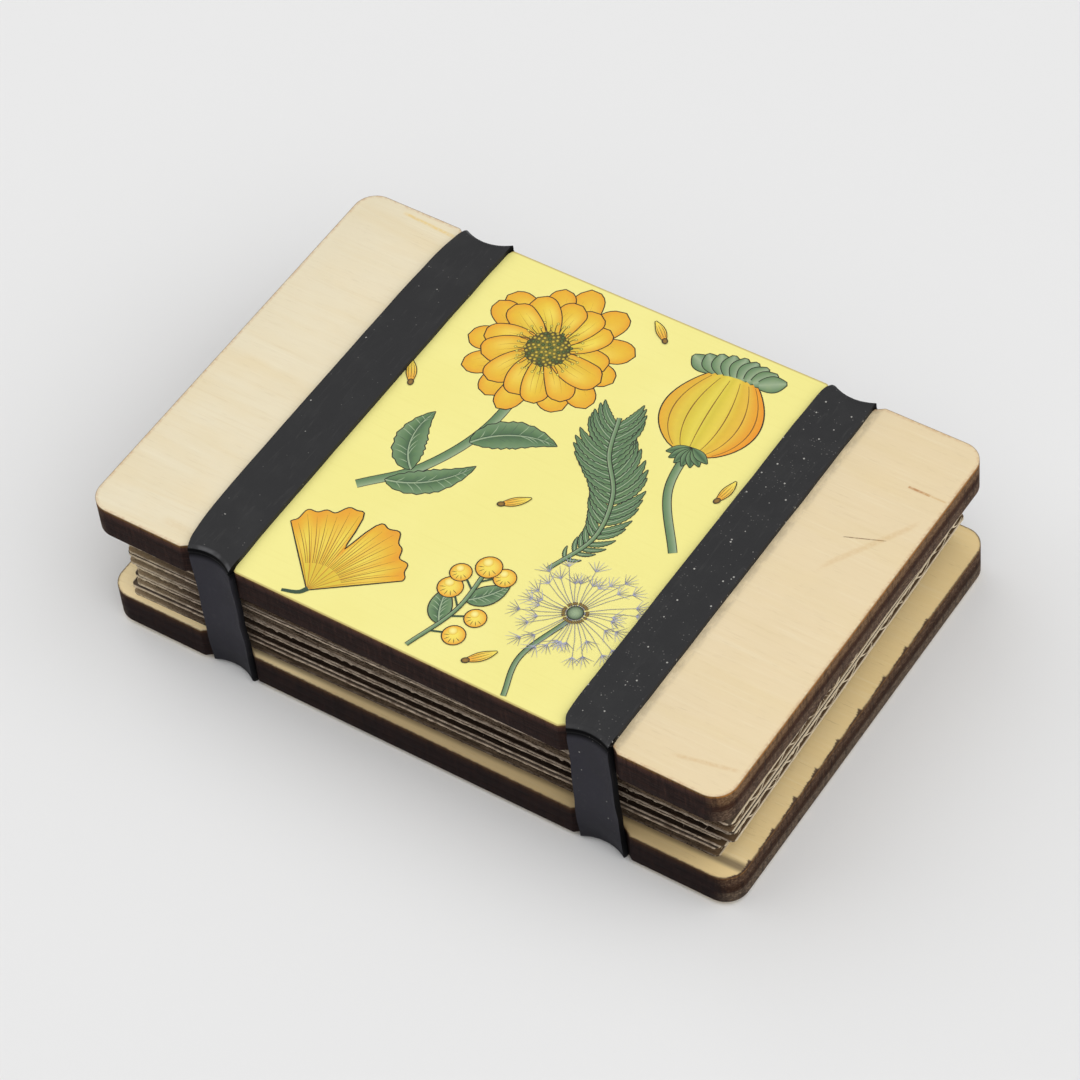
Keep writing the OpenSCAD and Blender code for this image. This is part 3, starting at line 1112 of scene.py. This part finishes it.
def draw_daisy(art, centre, radius, petals, seed):
    """A many-petalled flower: two rows of petals about a seeded disc."""
    draw = random.Random(seed)
    for reach, turn in ((1, 0), (0.8, 0.5)):
        for k in range(petals):
            angle = 2 * math.pi * (k + turn) / petals + draw.uniform(-0.06, 0.06)
            draw_petal(art, centre, radius, angle, reach, draw)
    core, seeds, stamens = radius * 0.27, 90, 34
    art.disc(centre, core, srgb(120, 118, 40), srgb(66, 60, 28), 24)
    for k in range(seeds):
        spot = centre + heading(k * GOLDEN_ANGLE, core * math.sqrt(k / seeds) * 1.04)
        art.disc(spot, 0.34, srgb(214, 186, 62) if k % 3 else srgb(92, 112, 52), INK, 8)
    for k in range(stamens):
        angle = 2 * math.pi * k / stamens + draw.uniform(-0.05, 0.05)
        tip = core * draw.uniform(1.25, 1.55)
        art.stroke([centre + heading(angle, core), centre + heading(angle + 0.03, tip * 0.9),
                    centre + heading(angle, tip)], 0.16, INK, (0.8, 0.8, 0.6))
        art.disc(centre + heading(angle, tip), 0.27, PETAL_PALE, INK, 8)


def draw_fern(art, points, reach, pairs, seed):
    """A frond: paired leaflets that shorten to a curled tip."""
    line = bend_line(points, 60)
    draw = random.Random(seed)
    for k in range(pairs):
        share = 0.1 + 0.86 * k / (pairs - 1)
        i = int(share * 58)
        along = math.atan2(line[i + 1].y - line[i].y, line[i + 1].x - line[i].x)
        size = reach * math.sin(math.pi * (0.16 + 0.82 * (1 - share)) ** 0.8) * 0.98 + 0.7
        for side in (-1, 1):
            angle = along + side * (1.15 - 0.25 * share) + draw.uniform(-0.05, 0.05)
            spine = [line[i] + heading(angle - side * 0.35 * step, size * step)
                     for step in even(16)]
            widths = [0.12 * size * math.sin(math.pi * min(1, 0.2 + 0.8 * step)) ** 0.8
                      * (0.8 if n % 2 else 1) + 0.02 for n, step in enumerate(even(16))]
            left, right = art.blade(spine, widths, leaf_tint, 4)
            art.sides(left, right, 0.16)
            art.stroke(spine, 0.2, LEAF_PALE, (1, 0.7, 0.1))
    draw_stem(art, points, 0.75)


def draw_capsule(art, centre, radius, turn):
    """A ribbed seed capsule under a rayed crown."""
    up, across = heading(turn + QUARTER_TURN), heading(turn)
    steps = even(24)
    line = [centre + up * radius * (-1.1 + 2.15 * step) for step in steps]
    widths = [radius * math.sin(math.pi * (0.06 + 0.86 * step ** 0.85)) ** 0.7 for step in steps]

    def body(i, j):
        tone = lerp(PETAL_GREEN, PETAL_RIM, abs(2 * j - 1.15) ** 1.6)
        ridge = 0.5 + 0.5 * math.cos(j * 2 * math.pi * 5)
        return lerp(tone, PETAL_PALE, 0.5 * ridge * (1 - abs(2 * j - 1)))

    left, right = art.blade(line, widths, body, 20)
    for off in (-0.78, -0.45, -0.1, 0.28, 0.6, 0.85):
        rib = [p + across * w * off for p, w in zip(line, widths)]
        art.stroke(rib[1:-2], 0.2, lerp(INK, PETAL_RIM, 0.25), (0.5, 1, 0.5))
    art.sides(left, right, 0.24)
    draw_crown(art, centre + up * radius * 1.08, up, across, radius)
    draw_sepals(art, centre - up * radius * 0.95, turn - QUARTER_TURN, radius)


def draw_crown(art, middle, up, across, radius):
    """Nine rounded rays side by side on top of a capsule."""
    for place in even(9):
        share = place * 2 - 1
        tip = middle + across * radius * 0.98 * share + up * radius * (0.42 - 0.3 * share * share)
        root = middle + across * radius * 0.5 * share - up * radius * 0.12
        spine = bend_line([root, root.lerp(tip, 0.55), tip], 9)
        widths = [0.1 + 0.2 * radius * math.sin(math.pi * (0.15 + 0.8 * step)) for step in even(9)]
        left, right = art.blade(spine, widths,
                                lambda i, j: lerp(LEAF_PALE, LEAF, abs(2 * j - 1)), 4)
        art.rim(left, right, 0.18)


def draw_sepals(art, root, down, radius):
    """Seven small leaves that hang from the foot of a capsule."""
    for k in range(7):
        spine = [root + heading(down + (k - 3) * 0.34, radius * 0.5 * step) for step in even(8)]
        widths = [0.03 + 0.1 * radius * math.sin(math.pi * n / 7.2) for n in range(8)]
        left, right = art.blade(spine, widths, leaf_tint, 4)
        art.rim(left, right, 0.14)


def draw_fan(art, base, angle, radius, spread, veins=33):
    """A fan-shaped yellow leaf with forking veins and one deep cleft."""
    def rim(share):
        cleft = 0.42 * math.exp(-((share - 0.52) / 0.035) ** 2)
        wave = 0.03 * math.sin(share * 23) + 0.02 * math.sin(share * 57 + 1)
        return radius * (0.86 + 0.16 * math.sin(math.pi * share) - cleft + wave)

    grid = [[base + heading(angle + spread * (share - 0.5), 0.4 + (rim(share) - 0.4) * step)
             for share in even(65)] for step in even(9)]

    def tint(i, j):
        tone = lerp(PETAL_GREEN, PETAL, i)
        tone = lerp(tone, PETAL_PALE, 0.6 * math.exp(-((i - 0.6) / 0.2) ** 2))
        return lerp(tone, PETAL_RIM, max(0, i - 0.72) * 2.6 + 0.3 * (0.5 + 0.5 * math.sin(j * 40)))

    art.rows(grid, tint)
    for k in range(veins):
        share = (k + 0.5) / veins
        reach = rim(share) * (0.94 if k % 2 else 0.8)
        begin = 0.5 if k % 4 == 0 else radius * 0.32
        vein = [base + heading(angle + spread * (share - 0.5) * (0.9 + 0.1 * step),
                               begin + (reach - begin) * step) for step in even(8)]
        art.stroke(vein, 0.15, lerp(INK, PETAL_RIM, 0.35 if k % 2 else 0.6), (0.7, 0.9, 0.2))
    for edge in (grid[-1], [row[0] for row in grid], [row[-1] for row in grid]):
        art.outline(edge, 0.24)


def draw_seed_head(art, centre, radius, count, seed):
    """A round head of fine plumed seeds."""
    draw = random.Random(seed)
    for k in range(count):
        angle = 2 * math.pi * k / count + draw.uniform(-0.08, 0.08)
        reach = radius * draw.choice((1, 0.92, 0.78, 0.62))
        tip = centre + heading(angle, reach)
        middle = centre + heading(angle + 0.04, reach * 0.6)
        art.stroke([centre + heading(angle, 0.8), middle, tip], 0.13, FLINT, (1, 0.7, 0.7))
        for off in (-1.0, -0.62, -0.25, 0.12, 0.5, 0.88):
            hair = heading(angle + off, radius * draw.uniform(0.2, 0.28))
            art.stroke([tip, tip + hair * 0.55, tip + hair], 0.12,
                       FLINT_PALE if draw.random() < 0.45 else FLINT, (1, 0.8, 0.3))
        seed_at = centre + heading(angle, radius * 0.2)
        art.disc(seed_at, 0.34, srgb(150, 120, 60), INK, 8, 0.5, angle)
    art.disc(centre, radius * 0.14, LEAF_PALE, LEAF_DARK, 16)
    art.ring(centre, radius * 0.14, 0.16)


def draw_berries(art, base, tip, seed):
    """A sprig of round orange berries with small leaves."""
    draw = random.Random(seed)
    twig = [base, base.lerp(tip, 0.5) + Vector((1.6, 0)), tip]
    line = bend_line(twig, 30)
    for k in range(7):
        i = 6 + k * 3
        side = 1 if k % 2 else -1
        angle = math.atan2(line[i + 1].y - line[i].y, line[i + 1].x - line[i].x)
        if k in (1, 4):
            draw_leaf(art, line[i], angle + side * 0.95, 7.6, 1.9, -side * 0.3, 0, 3 + k)
            continue
        spot = line[i] + heading(angle + side * 0.95, draw.uniform(3.6, 4.8))
        art.stroke(bend_line([line[i], line[i].lerp(spot, 0.6) + heading(angle, 0.3), spot], 6),
                   0.34, LEAF_DARK, (1, 1, 0.8))
        draw_berry(art, spot, draw.uniform(1.75, 2.2))
    draw_stem(art, twig, 0.7)
    draw_berry(art, tip, 2.2)


def draw_berry(art, centre, radius):
    art.disc(centre, radius, PETAL_PALE, PETAL_RIM, 20)
    art.disc(centre + Vector((-0.3, 0.35)) * radius, radius * 0.42, srgb(252, 240, 150),
             PETAL, 12)
    art.ring(centre, radius, 0.2)
    for k in range(5):
        angle = -1.2 + k * 0.6 - QUARTER_TURN
        art.stroke([centre + heading(angle, radius * 0.35), centre + heading(angle, radius * 0.6),
                    centre + heading(angle, radius * 0.82)], 0.12, INK, (0.3, 1, 0.5))


def draw_seed(art, centre, angle, size):
    """A winged seed."""
    steps = even(12)
    spine = [centre + heading(angle + 0.25 * step, size * step) for step in steps]
    widths = [size * 0.17 * math.sin(math.pi * (0.1 + 0.85 * step)) for step in steps]
    left, right = art.blade(spine, widths, lambda i, j: lerp(PETAL_RIM, PETAL_PALE, i), 6, 0.25)
    for off in (0.2, 0.5, 0.8):
        art.stroke([a.lerp(b, off) for a, b in zip(left, right)][2:10], 0.11, INK, (0.6, 0.8, 0.2))
    art.rim(left, right, 0.17)
    art.disc(centre, size * 0.13, srgb(150, 112, 44), srgb(84, 62, 30), 12, 0.75, angle)
    art.ring(centre, size * 0.13, 0.16, 0.75, angle, 14)


def inked_film(art, name):
    """The drawing as one thin solid film whose points carry their inks."""
    mesh = bpy.data.meshes.new(name)
    mesh.from_pydata(art.points, [], art.faces)
    ink = mesh.color_attributes.new("ink", "FLOAT_COLOR", "POINT")
    for k, tint in enumerate(art.tints):
        ink.data[k].color = tint
    film = bpy.data.objects.new(name, mesh)
    bpy.context.scene.collection.objects.link(film)
    shape = bmesh.new()
    shape.from_mesh(mesh)
    for face in shape.faces:
        face.normal_update()
        if face.normal.z < 0:
            face.normal_flip()
    shape.to_mesh(mesh)
    shape.free()
    modify(film, "SOLIDIFY", thickness=INK_T, offset=-1)
    return film


def draw_garden(art):
    """The whole sheet of studies, with its top towards the back."""
    draw_stem(art, [(-13, 24), (-12.5, 6), (-17, -7), (-24.5, -15.5)], 1.7)
    draw_leaf(art, Vector((-13.4, 1)), 1.0, 14.5, 3.2, -0.55, 9, 5)
    draw_leaf(art, Vector((-18.4, -8.6)), 2.5, 13, 3.0, -0.65, 9, 6)
    draw_leaf(art, Vector((-21, -12.4)), 0.2, 15, 2.7, 0.5, 9, 7)
    draw_daisy(art, Vector((-13.5, 24.5)), 14.6, 13, 4)
    draw_stem(art, [(18.5, 19), (20.5, 8), (28, -2.5)], 1.4)
    draw_capsule(art, Vector((18, 26)), 8.6, 0.12)
    draw_fern(art, [(12.5, -15), (15.4, -6), (13.2, 3), (8, 10), (5.2, 17.5)], 8.0, 22, 8)
    draw_fan(art, Vector((-18.6, -37.8)), 1.5, 17.5, 1.72)
    art.stroke(bend_line([(-18.6, -37.4), (-19.6, -38.8), (-22.2, -39.7)], 8), 0.95, LEAF_DARK,
               (1, 0.8, 0.6))
    draw_stem(art, [(21.2, -22), (18.4, -32), (20.4, -39.9)], 0.85)
    draw_seed_head(art, Vector((21.2, -20.5)), 9.6, 38, 9)
    draw_berries(art, Vector((1.5, -39)), Vector((4.2, -19.5)), 10)
    for x, y, angle, size in ((-29.3, 7.2, 1.9, 5.2), (28.4, 10.2, 1.2, 5.0),
                              (11.4, -37, 0.6, 5.2), (-1.5, -7.5, 0.5, 5.0),
                              (2.6, 35.5, 2.2, 4.8)):
        draw_seed(art, Vector((x, y)), angle, size)


# Sizes and colours that a user may change

def colour_prop(name, description, red, green, blue):
    return FloatVectorProperty(name=name, description=description, subtype="COLOR", size=4,
                               min=0, max=1, default=srgb(red, green, blue))


def length_prop(name, description, value, low, high):
    """A length, given here in millimetres and held in metres as Blender's own lengths are."""
    return FloatProperty(name=name, description=description, default=value * MM,
                         min=low * MM, max=high * MM, precision=5, subtype="DISTANCE")


class PressBoards(bpy.types.PropertyGroup):
    first_glue: length_prop("Upper glue line", "Depth of the upper glue line", 2.1, 1, 3)
    second_glue: length_prop("Lower glue line", "Depth of the lower glue line", 4.2, 3, 5.5)
    groove: length_prop("Groove", "Depth of the groove at a glue line", 0.02, 0, 0.3)
    rim: length_prop("Rim", "Rounding of the boards' rims", 0.12, 0.02, 0.4)
    top_left: colour_prop("Top, left", "Wood of the top board's left end", 232, 220, 190)
    top_right: colour_prop("Top, right", "Wood of the top board's right end", 230, 210, 171)
    bottom_left: colour_prop("Bottom, left", "Wood of the bottom board's left end",
                             248, 226, 176)
    bottom_right: colour_prop("Bottom, right", "Wood of the bottom board's right end",
                              228, 202, 146)
    print_ground: colour_prop("Print ground", "Colour of the facing behind the drawing",
                              242, 233, 142)


class PressBands(bpy.types.PropertyGroup):
    fold_r: length_prop("Fold", "Radius of the fold over a board's edge", 0.5, 0.3, 2)
    bulge: length_prop("Bulge", "How far the front fold stands proud of the side", 0.3, 0, 0.6)
    tuck: length_prop("Tuck", "How far the crease lies behind the strap below it", 0.25, 0, 0.8)
    swell: length_prop("Swell", "Rise of the strap just before the fold", 0.12, 0, 0.4)
    flat: colour_prop("Straps", "Rubber on top", 52, 52, 53)
    side: colour_prop("Sides", "Rubber down the sides", 54, 53, 60)
    left_dust: FloatProperty(name="Dust, left", description="Share of specks on the left band",
                             default=0.03, min=0, max=0.5, subtype="FACTOR")
    right_dust: FloatProperty(name="Dust, right", description="Share of specks on the right band",
                              default=0.2, min=0, max=0.5, subtype="FACTOR")


class PressSheets(bpy.types.PropertyGroup):
    fray: length_prop("Fray", "How far the cardboards' cut edges are worn back", 0.12, 0, 1)
    tooth: length_prop("Teeth", "Length of the torn teeth under a liner", 0.45, 0, 1.2)
    drift: FloatProperty(name="Flute drift", default=0.55, min=-1, max=1,
                         description="Flutes crossed from one end of the cut to the other")
    whisker_count: IntProperty(name="Whiskers", default=170, min=0, max=400,
                               description="Torn fibres on each cardboard")
    pale: colour_prop("Liner", "Light fibres of the cardboard", 212, 195, 175)
    deep: colour_prop("Liner shade", "Dark fibres of the cardboard", 130, 113, 98)
    soot_and_shade: colour_prop("Soot", "Burnt paper of the cardboard", 46, 36, 29)
    paper: colour_prop("Blotting paper", "Colour of the blotting papers", 206, 196, 174)


class PressStage(bpy.types.PropertyGroup):
    floor: colour_prop("Floor", "Colour of the floor", 230, 230, 230)
    sky: FloatProperty(name="Sky", description="Strength of the even light", default=0.18,
                       min=0, max=4)
    sun: FloatProperty(name="Soft lights", description="Scales the strength of the soft lights",
                       default=1, min=0, max=10)
    lens: FloatProperty(name="Lens", description="Focal length", default=141.69, min=20, max=400,
                        subtype="DISTANCE_CAMERA")


# Where each soft light stands, in degrees from the right end towards the back, and its
# strength; then how far the lights lean out and how wide they spread
LAMPS = ((0, 1.21), (45, 0.38), (180, 1.12), (315, 0.75))
LAMP_LEAN = 0.8
LAMP_SPREAD = math.radians(70)

# The floor's side and the camera's place in metres, the camera's right, up and back
# directions, and its film's width in millimetres
FLOOR_SIDE = 8
CAMERA_PLACE = (0.28081, -0.35382, 0.54749)
CAMERA_AXES = ((0.833494, 0.547195, -0.076587), (-0.379108, 0.667204, 0.641184),
               (0.401952, -0.505388, 0.763556))
FILM_W = 36


# Barbs of char on the bottom board's right rim: y and reach, and the length they thin out over
BARBS = ((20.3, 0.3), (13.6, 0.5), (6.62, 0.4), (-1.08, 0.55), (-8, 0.35), (-14.68, 0.5),
         (-21.14, 0.6), (-28.17, 0.35), (-35.2, 0.45))
BARB_TAPER = 1.9

# For each cardboard from the lowest up: the share of a flute at which its wave starts, the
# length of its teeth and how burnt its lower and its upper liner are, as shares, then the
# dark and the light paper inside it
# The second and third rows' dark paper inside is soot and also painted shade of the hollows behind
# the cut
CUTS = ((0.2, 0.3, 0.7, 0.05, srgb(66, 53, 42), srgb(112, 95, 77)),
        (0.55, 0.5, 0.05, 0.2, srgb(32, 23, 17), srgb(60, 47, 37)),
        (0.1, 0.9, 0.25, 0.2, srgb(34, 25, 18), srgb(58, 44, 34)),
        (0.8, 0.5, 0.4, 0, srgb(70, 58, 47), srgb(150, 132, 113)),
        (0.35, 0.4, 0.4, 0.3, srgb(84, 71, 59), srgb(148, 131, 113)),
        (0.65, 0.3, 0.4, 0.3, srgb(84, 71, 59), srgb(144, 128, 110)))


# Operators

class PRESS_OT_bottom_board(bpy.types.Operator):
    """Build the bottom board"""
    bl_idname = "press.bottom_board"
    bl_label = "Bottom board"

    def execute(self, context):
        sizes = context.scene.press_boards
        place = (Matrix.Translation((0, middle_of("bottom_board"), 0))
                 @ Matrix.Rotation(BOTTOM_TURN, 4, "Z"))
        nibs = [(y, reach, BARB_TAPER) for y, reach in BARBS]
        # Painted shadows on the strip in front of the stack: a narrow dark one along the lowest
        # cardboard's edge and a broad, lighter one along the front
        painted_shadows = [((-34, -38.8), (60, -36.9), 1.35, srgb(76, 61, 45), 0.75, 8),
                  ((-12, -40), (45, -38.8), 3.4, srgb(150, 124, 84), 0.4, 14)]
        face = veneer("bottom_veneer", tuple(sizes.bottom_left), tuple(sizes.bottom_right),
                      place, 0.35, [], (0.5, 0.35, 0.9, 0.2), nibs, painted_shadows)
        edge = burnt_edge("bottom_burnt_edge", box_mm("bottom_board")[1].z,
                          (sizes.first_glue / MM, sizes.second_glue / MM),
                          (srgb(18, 9, 9), srgb(42, 27, 25)), (srgb(80, 57, 35), srgb(46, 28, 20)),
                          (srgb(112, 84, 50), srgb(90, 65, 48), srgb(52, 30, 16),
                           srgb(106, 90, 76)), 0.15)
        plywood("bottom_board", "board_bottom", "base", (face, edge), sizes,
                place)
        return {"FINISHED"}


class PRESS_OT_top_board(bpy.types.Operator):
    """Build the top board with the bed for its printed facing"""
    bl_idname = "press.top_board"
    bl_label = "Top board"

    def execute(self, context):
        sizes = context.scene.press_boards
        place = Matrix.Translation((0, middle_of("top_board"), 0))
        rust, tan, crack = srgb(176, 112, 52), srgb(206, 166, 104), srgb(112, 76, 48)
        marks = [
            ((53.65, 27.9), (57.3, 27.9), 0.35, rust, 0.8, 0.3),
            ((56.3, 27.9), (60.1, 27.9), 0.3, tan, 0.5, 0.5),
            ((49.95, 13.9), (55.85, 16.25), 0.16, crack, 0.85, 0.4),
            ((50.75, 8.5), (57.75, 20.05), 1.6, tan, 0.3, 1.5),
            ((50.6, -36), (58.55, -34.3), 0.6, tan, 0.35, 2),
            ((-51.35, 38.9), (-42.3, 38.4), 0.5, srgb(232, 200, 120), 0.7, 1.5),
            ((-46.4, -37.15), (-41.35, -37.55), 1.3, srgb(214, 186, 134), 0.2, 2),
        ]
        # Dust with a painted soft shadow along the right band's right edge
        dust_and_shadow_lines = [(40.8, 1.3, srgb(150, 137, 112), 0.35)]
        face = veneer("top_veneer", tuple(sizes.top_left), tuple(sizes.top_right), place,
                      0.1, marks, (0.16, 0.16, 0.7, 0.55), dust_and_shadow_lines=dust_and_shadow_lines)
        edge = burnt_edge("top_burnt_edge", box_mm("top_board")[1].z,
                          (sizes.first_glue / MM, sizes.second_glue / MM),
                          (srgb(25, 13, 11), srgb(52, 35, 31)),
                          (srgb(118, 87, 46), srgb(74, 48, 40)),
                          (srgb(147, 110, 60), srgb(130, 98, 68), srgb(58, 32, 16),
                           srgb(98, 77, 62)), 0.8)
        panel_lo, panel_hi = box_mm("printed_panel")
        plywood("top_board", "board_top", "lid", (face, edge), sizes,
                place, panel_hi.z - panel_lo.z)
        return {"FINISHED"}


class PRESS_OT_printed_panel(bpy.types.Operator):
    """Build the printed facing and the drawing on it"""
    bl_idname = "press.printed_panel"
    bl_label = "Printed panel"

    def execute(self, context):
        sizes = context.scene.press_boards
        lo, hi = box_mm("printed_panel")
        place = Matrix.Translation((0, middle_of("top_board"), 0))
        panel = slab(lo.z, hi.z)
        cut_block(panel, Vector((-NOTCH_X, -BOARD_W, lo.z - 1)),
                  Vector((NOTCH_X, BOARD_W, hi.z + 1)), keep=True)
        settle(panel, "print_ground", place)
        panel.data.materials.append(
            printed_ground("printed_yellow", tuple(sizes.print_ground), place))
        hand_over(panel, "printed_panel", "lid")

        art = Drawing(hi.z + INK_GAP, INK_STEP)
        draw_garden(art)
        drawing = inked_film(art, "print_drawing")
        settle(drawing, "print_drawing", place)
        drawing.data.materials.append(printed_ink("printed_inks"))
        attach(drawing, "lid")
        return {"FINISHED"}


class PRESS_OT_bands(bpy.types.Operator):
    """Build the two rubber bands"""
    bl_idname = "press.bands"
    bl_label = "Rubber bands"

    def execute(self, context):
        sizes = context.scene.press_bands
        # The left fold's painted highlight is brighter than the right's
        left = rubber("left_rubber", tuple(sizes.flat), tuple(sizes.side), sizes.left_dust,
                      0.6, 3)
        right = rubber("right_rubber", tuple(sizes.flat), tuple(sizes.side), sizes.right_dust,
                       0.15, 11)
        band("band_left", "rubber_left", -NOTCH_X, left, sizes, 1)
        band("band_right", "rubber_right", NOTCH_X, right, sizes, 7)
        return {"FINISHED"}


class PRESS_OT_cardboards(bpy.types.Operator):
    """Build the corrugated cardboards"""
    bl_idname = "press.cardboards"
    bl_label = "Cardboards"

    def execute(self, context):
        sizes = context.scene.press_sheets
        for number in range(CARDBOARDS):
            node = f"cardboard_{number + 1}"
            long, wide, thick, place = sheet_place(node)
            seed = 17.0 * (number + 1)
            start, teeth, low_burn, high_burn, *inside = CUTS[number]
            low = torn_sheet(long, wide, 0, LINER_T, seed, sizes.fray / MM, 0)
            high = torn_sheet(long, wide, thick - LINER_T, thick, seed + 5, sizes.fray / MM,
                              sizes.tooth / MM * teeth)
            wave = flutes(long, wide, thick, start, seed, sizes.drift)
            levels = (LINER_T / 2, thick - LINER_T / 2, thick - LINER_T, thick * 0.6)
            hairs = whiskers(long, wide, levels, sizes.whisker_count, number + 40)
            piece = join([low, high, wave, hairs])
            settle(piece, f"corrugated_{number + 1}", place, 35)
            colours = tuple(sizes.pale), tuple(sizes.deep), tuple(sizes.soot_and_shade)
            piece.data.materials.append(kraft(f"kraft_{number + 1}", colours,
                                              (low_burn, high_burn), inside, long, wide, thick,
                                              place, seed))
            hand_over(piece, node, node)
        return {"FINISHED"}


class PRESS_OT_blotters(bpy.types.Operator):
    """Build the blotting papers"""
    bl_idname = "press.blotters"
    bl_label = "Blotting papers"

    def execute(self, context):
        sizes = context.scene.press_sheets
        for number in range(BLOTTERS):
            node = f"blotter_{number + 1}"
            long, wide, thick, place = sheet_place(node)
            seed = 31.0 * (number + 1)
            sheet = torn_sheet(long, wide, 0, thick, seed, 0.3, 0, 0.6)
            settle(sheet, f"paper_{number + 1}", place, 35)
            sheet.data.materials.append(blotting(f"blotting_{number + 1}", tuple(sizes.paper),
                                                 long, wide, place, seed))
            hand_over(sheet, node, node)
        return {"FINISHED"}


def even_sky(strength):
    world = bpy.data.worlds.new("even_light")
    world.use_nodes = True
    sky = world.node_tree.nodes["Background"]
    sky.inputs["Color"].default_value = (1, 1, 1, 1)
    sky.inputs["Strength"].default_value = strength
    return world


def soft_light(name, compass, strength):
    """A wide sun that stands at a compass angle and shines on the press."""
    sun = bpy.data.lights.new(name, "SUN")
    sun.energy = strength
    sun.angle = LAMP_SPREAD
    lamp = bpy.data.objects.new(name, sun)
    aim = heading(math.radians(compass), LAMP_LEAN).to_3d() + Vector((0, 0, 1))
    lamp.rotation_euler = aim.to_track_quat("Z", "Y").to_euler()
    bpy.context.scene.collection.objects.link(lamp)


def long_lens(length):
    """The camera, where the photo's was."""
    lens = bpy.data.cameras.new("camera")
    lens.lens = length
    lens.sensor_width = FILM_W
    camera = bpy.data.objects.new("camera", lens)
    turn = Matrix(CAMERA_AXES).transposed().to_4x4()
    camera.matrix_world = Matrix.Translation(CAMERA_PLACE) @ turn
    bpy.context.scene.collection.objects.link(camera)
    return camera


class PRESS_OT_stage(bpy.types.Operator):
    """Set the floor, the light and the camera"""
    bl_idname = "press.stage"
    bl_label = "Stage"

    def execute(self, context):
        sizes = context.scene.press_stage
        deselect()
        bpy.ops.mesh.primitive_plane_add(size=FLOOR_SIDE, location=(0, 0, 0))
        floor = bpy.context.object
        floor.name = "floor"
        floor.data.materials.append(floor_paint("floor_paint", tuple(sizes.floor)))

        context.scene.world = even_sky(sizes.sky)
        for compass, strength in LAMPS:
            soft_light(f"soft_light_{compass}", compass, strength * sizes.sun)
        context.scene.camera = long_lens(sizes.lens)
        context.scene.view_settings.view_transform = "Standard"
        return {"FINISHED"}


STEPS = (PRESS_OT_bottom_board, PRESS_OT_top_board, PRESS_OT_printed_panel, PRESS_OT_bands,
         PRESS_OT_cardboards, PRESS_OT_blotters, PRESS_OT_stage)


class PRESS_PT_sidebar(bpy.types.Panel):
    """The press's building steps"""
    bl_label = "Flower press"
    bl_idname = "PRESS_PT_sidebar"
    bl_space_type = "VIEW_3D"
    bl_region_type = "UI"
    bl_category = "Press"

    def draw(self, context):
        for step in STEPS:
            self.layout.operator(step.bl_idname)


GROUPS = {"press_boards": PressBoards, "press_bands": PressBands,
          "press_sheets": PressSheets, "press_stage": PressStage}


def register():
    for kind in (*GROUPS.values(), *STEPS, PRESS_PT_sidebar):
        bpy.utils.register_class(kind)
    for name, group in GROUPS.items():
        setattr(bpy.types.Scene, name, PointerProperty(type=group))


def unregister():
    for name in GROUPS:
        delattr(bpy.types.Scene, name)
    for kind in reversed((*GROUPS.values(), *STEPS, PRESS_PT_sidebar)):
        bpy.utils.unregister_class(kind)


def main():
    register()
    bpy.ops.press.bottom_board()
    bpy.ops.press.top_board()
    bpy.ops.press.printed_panel()
    bpy.ops.press.bands()
    bpy.ops.press.cardboards()
    bpy.ops.press.blotters()
    bpy.ops.press.stage()


if __name__ == "__main__":
    main()
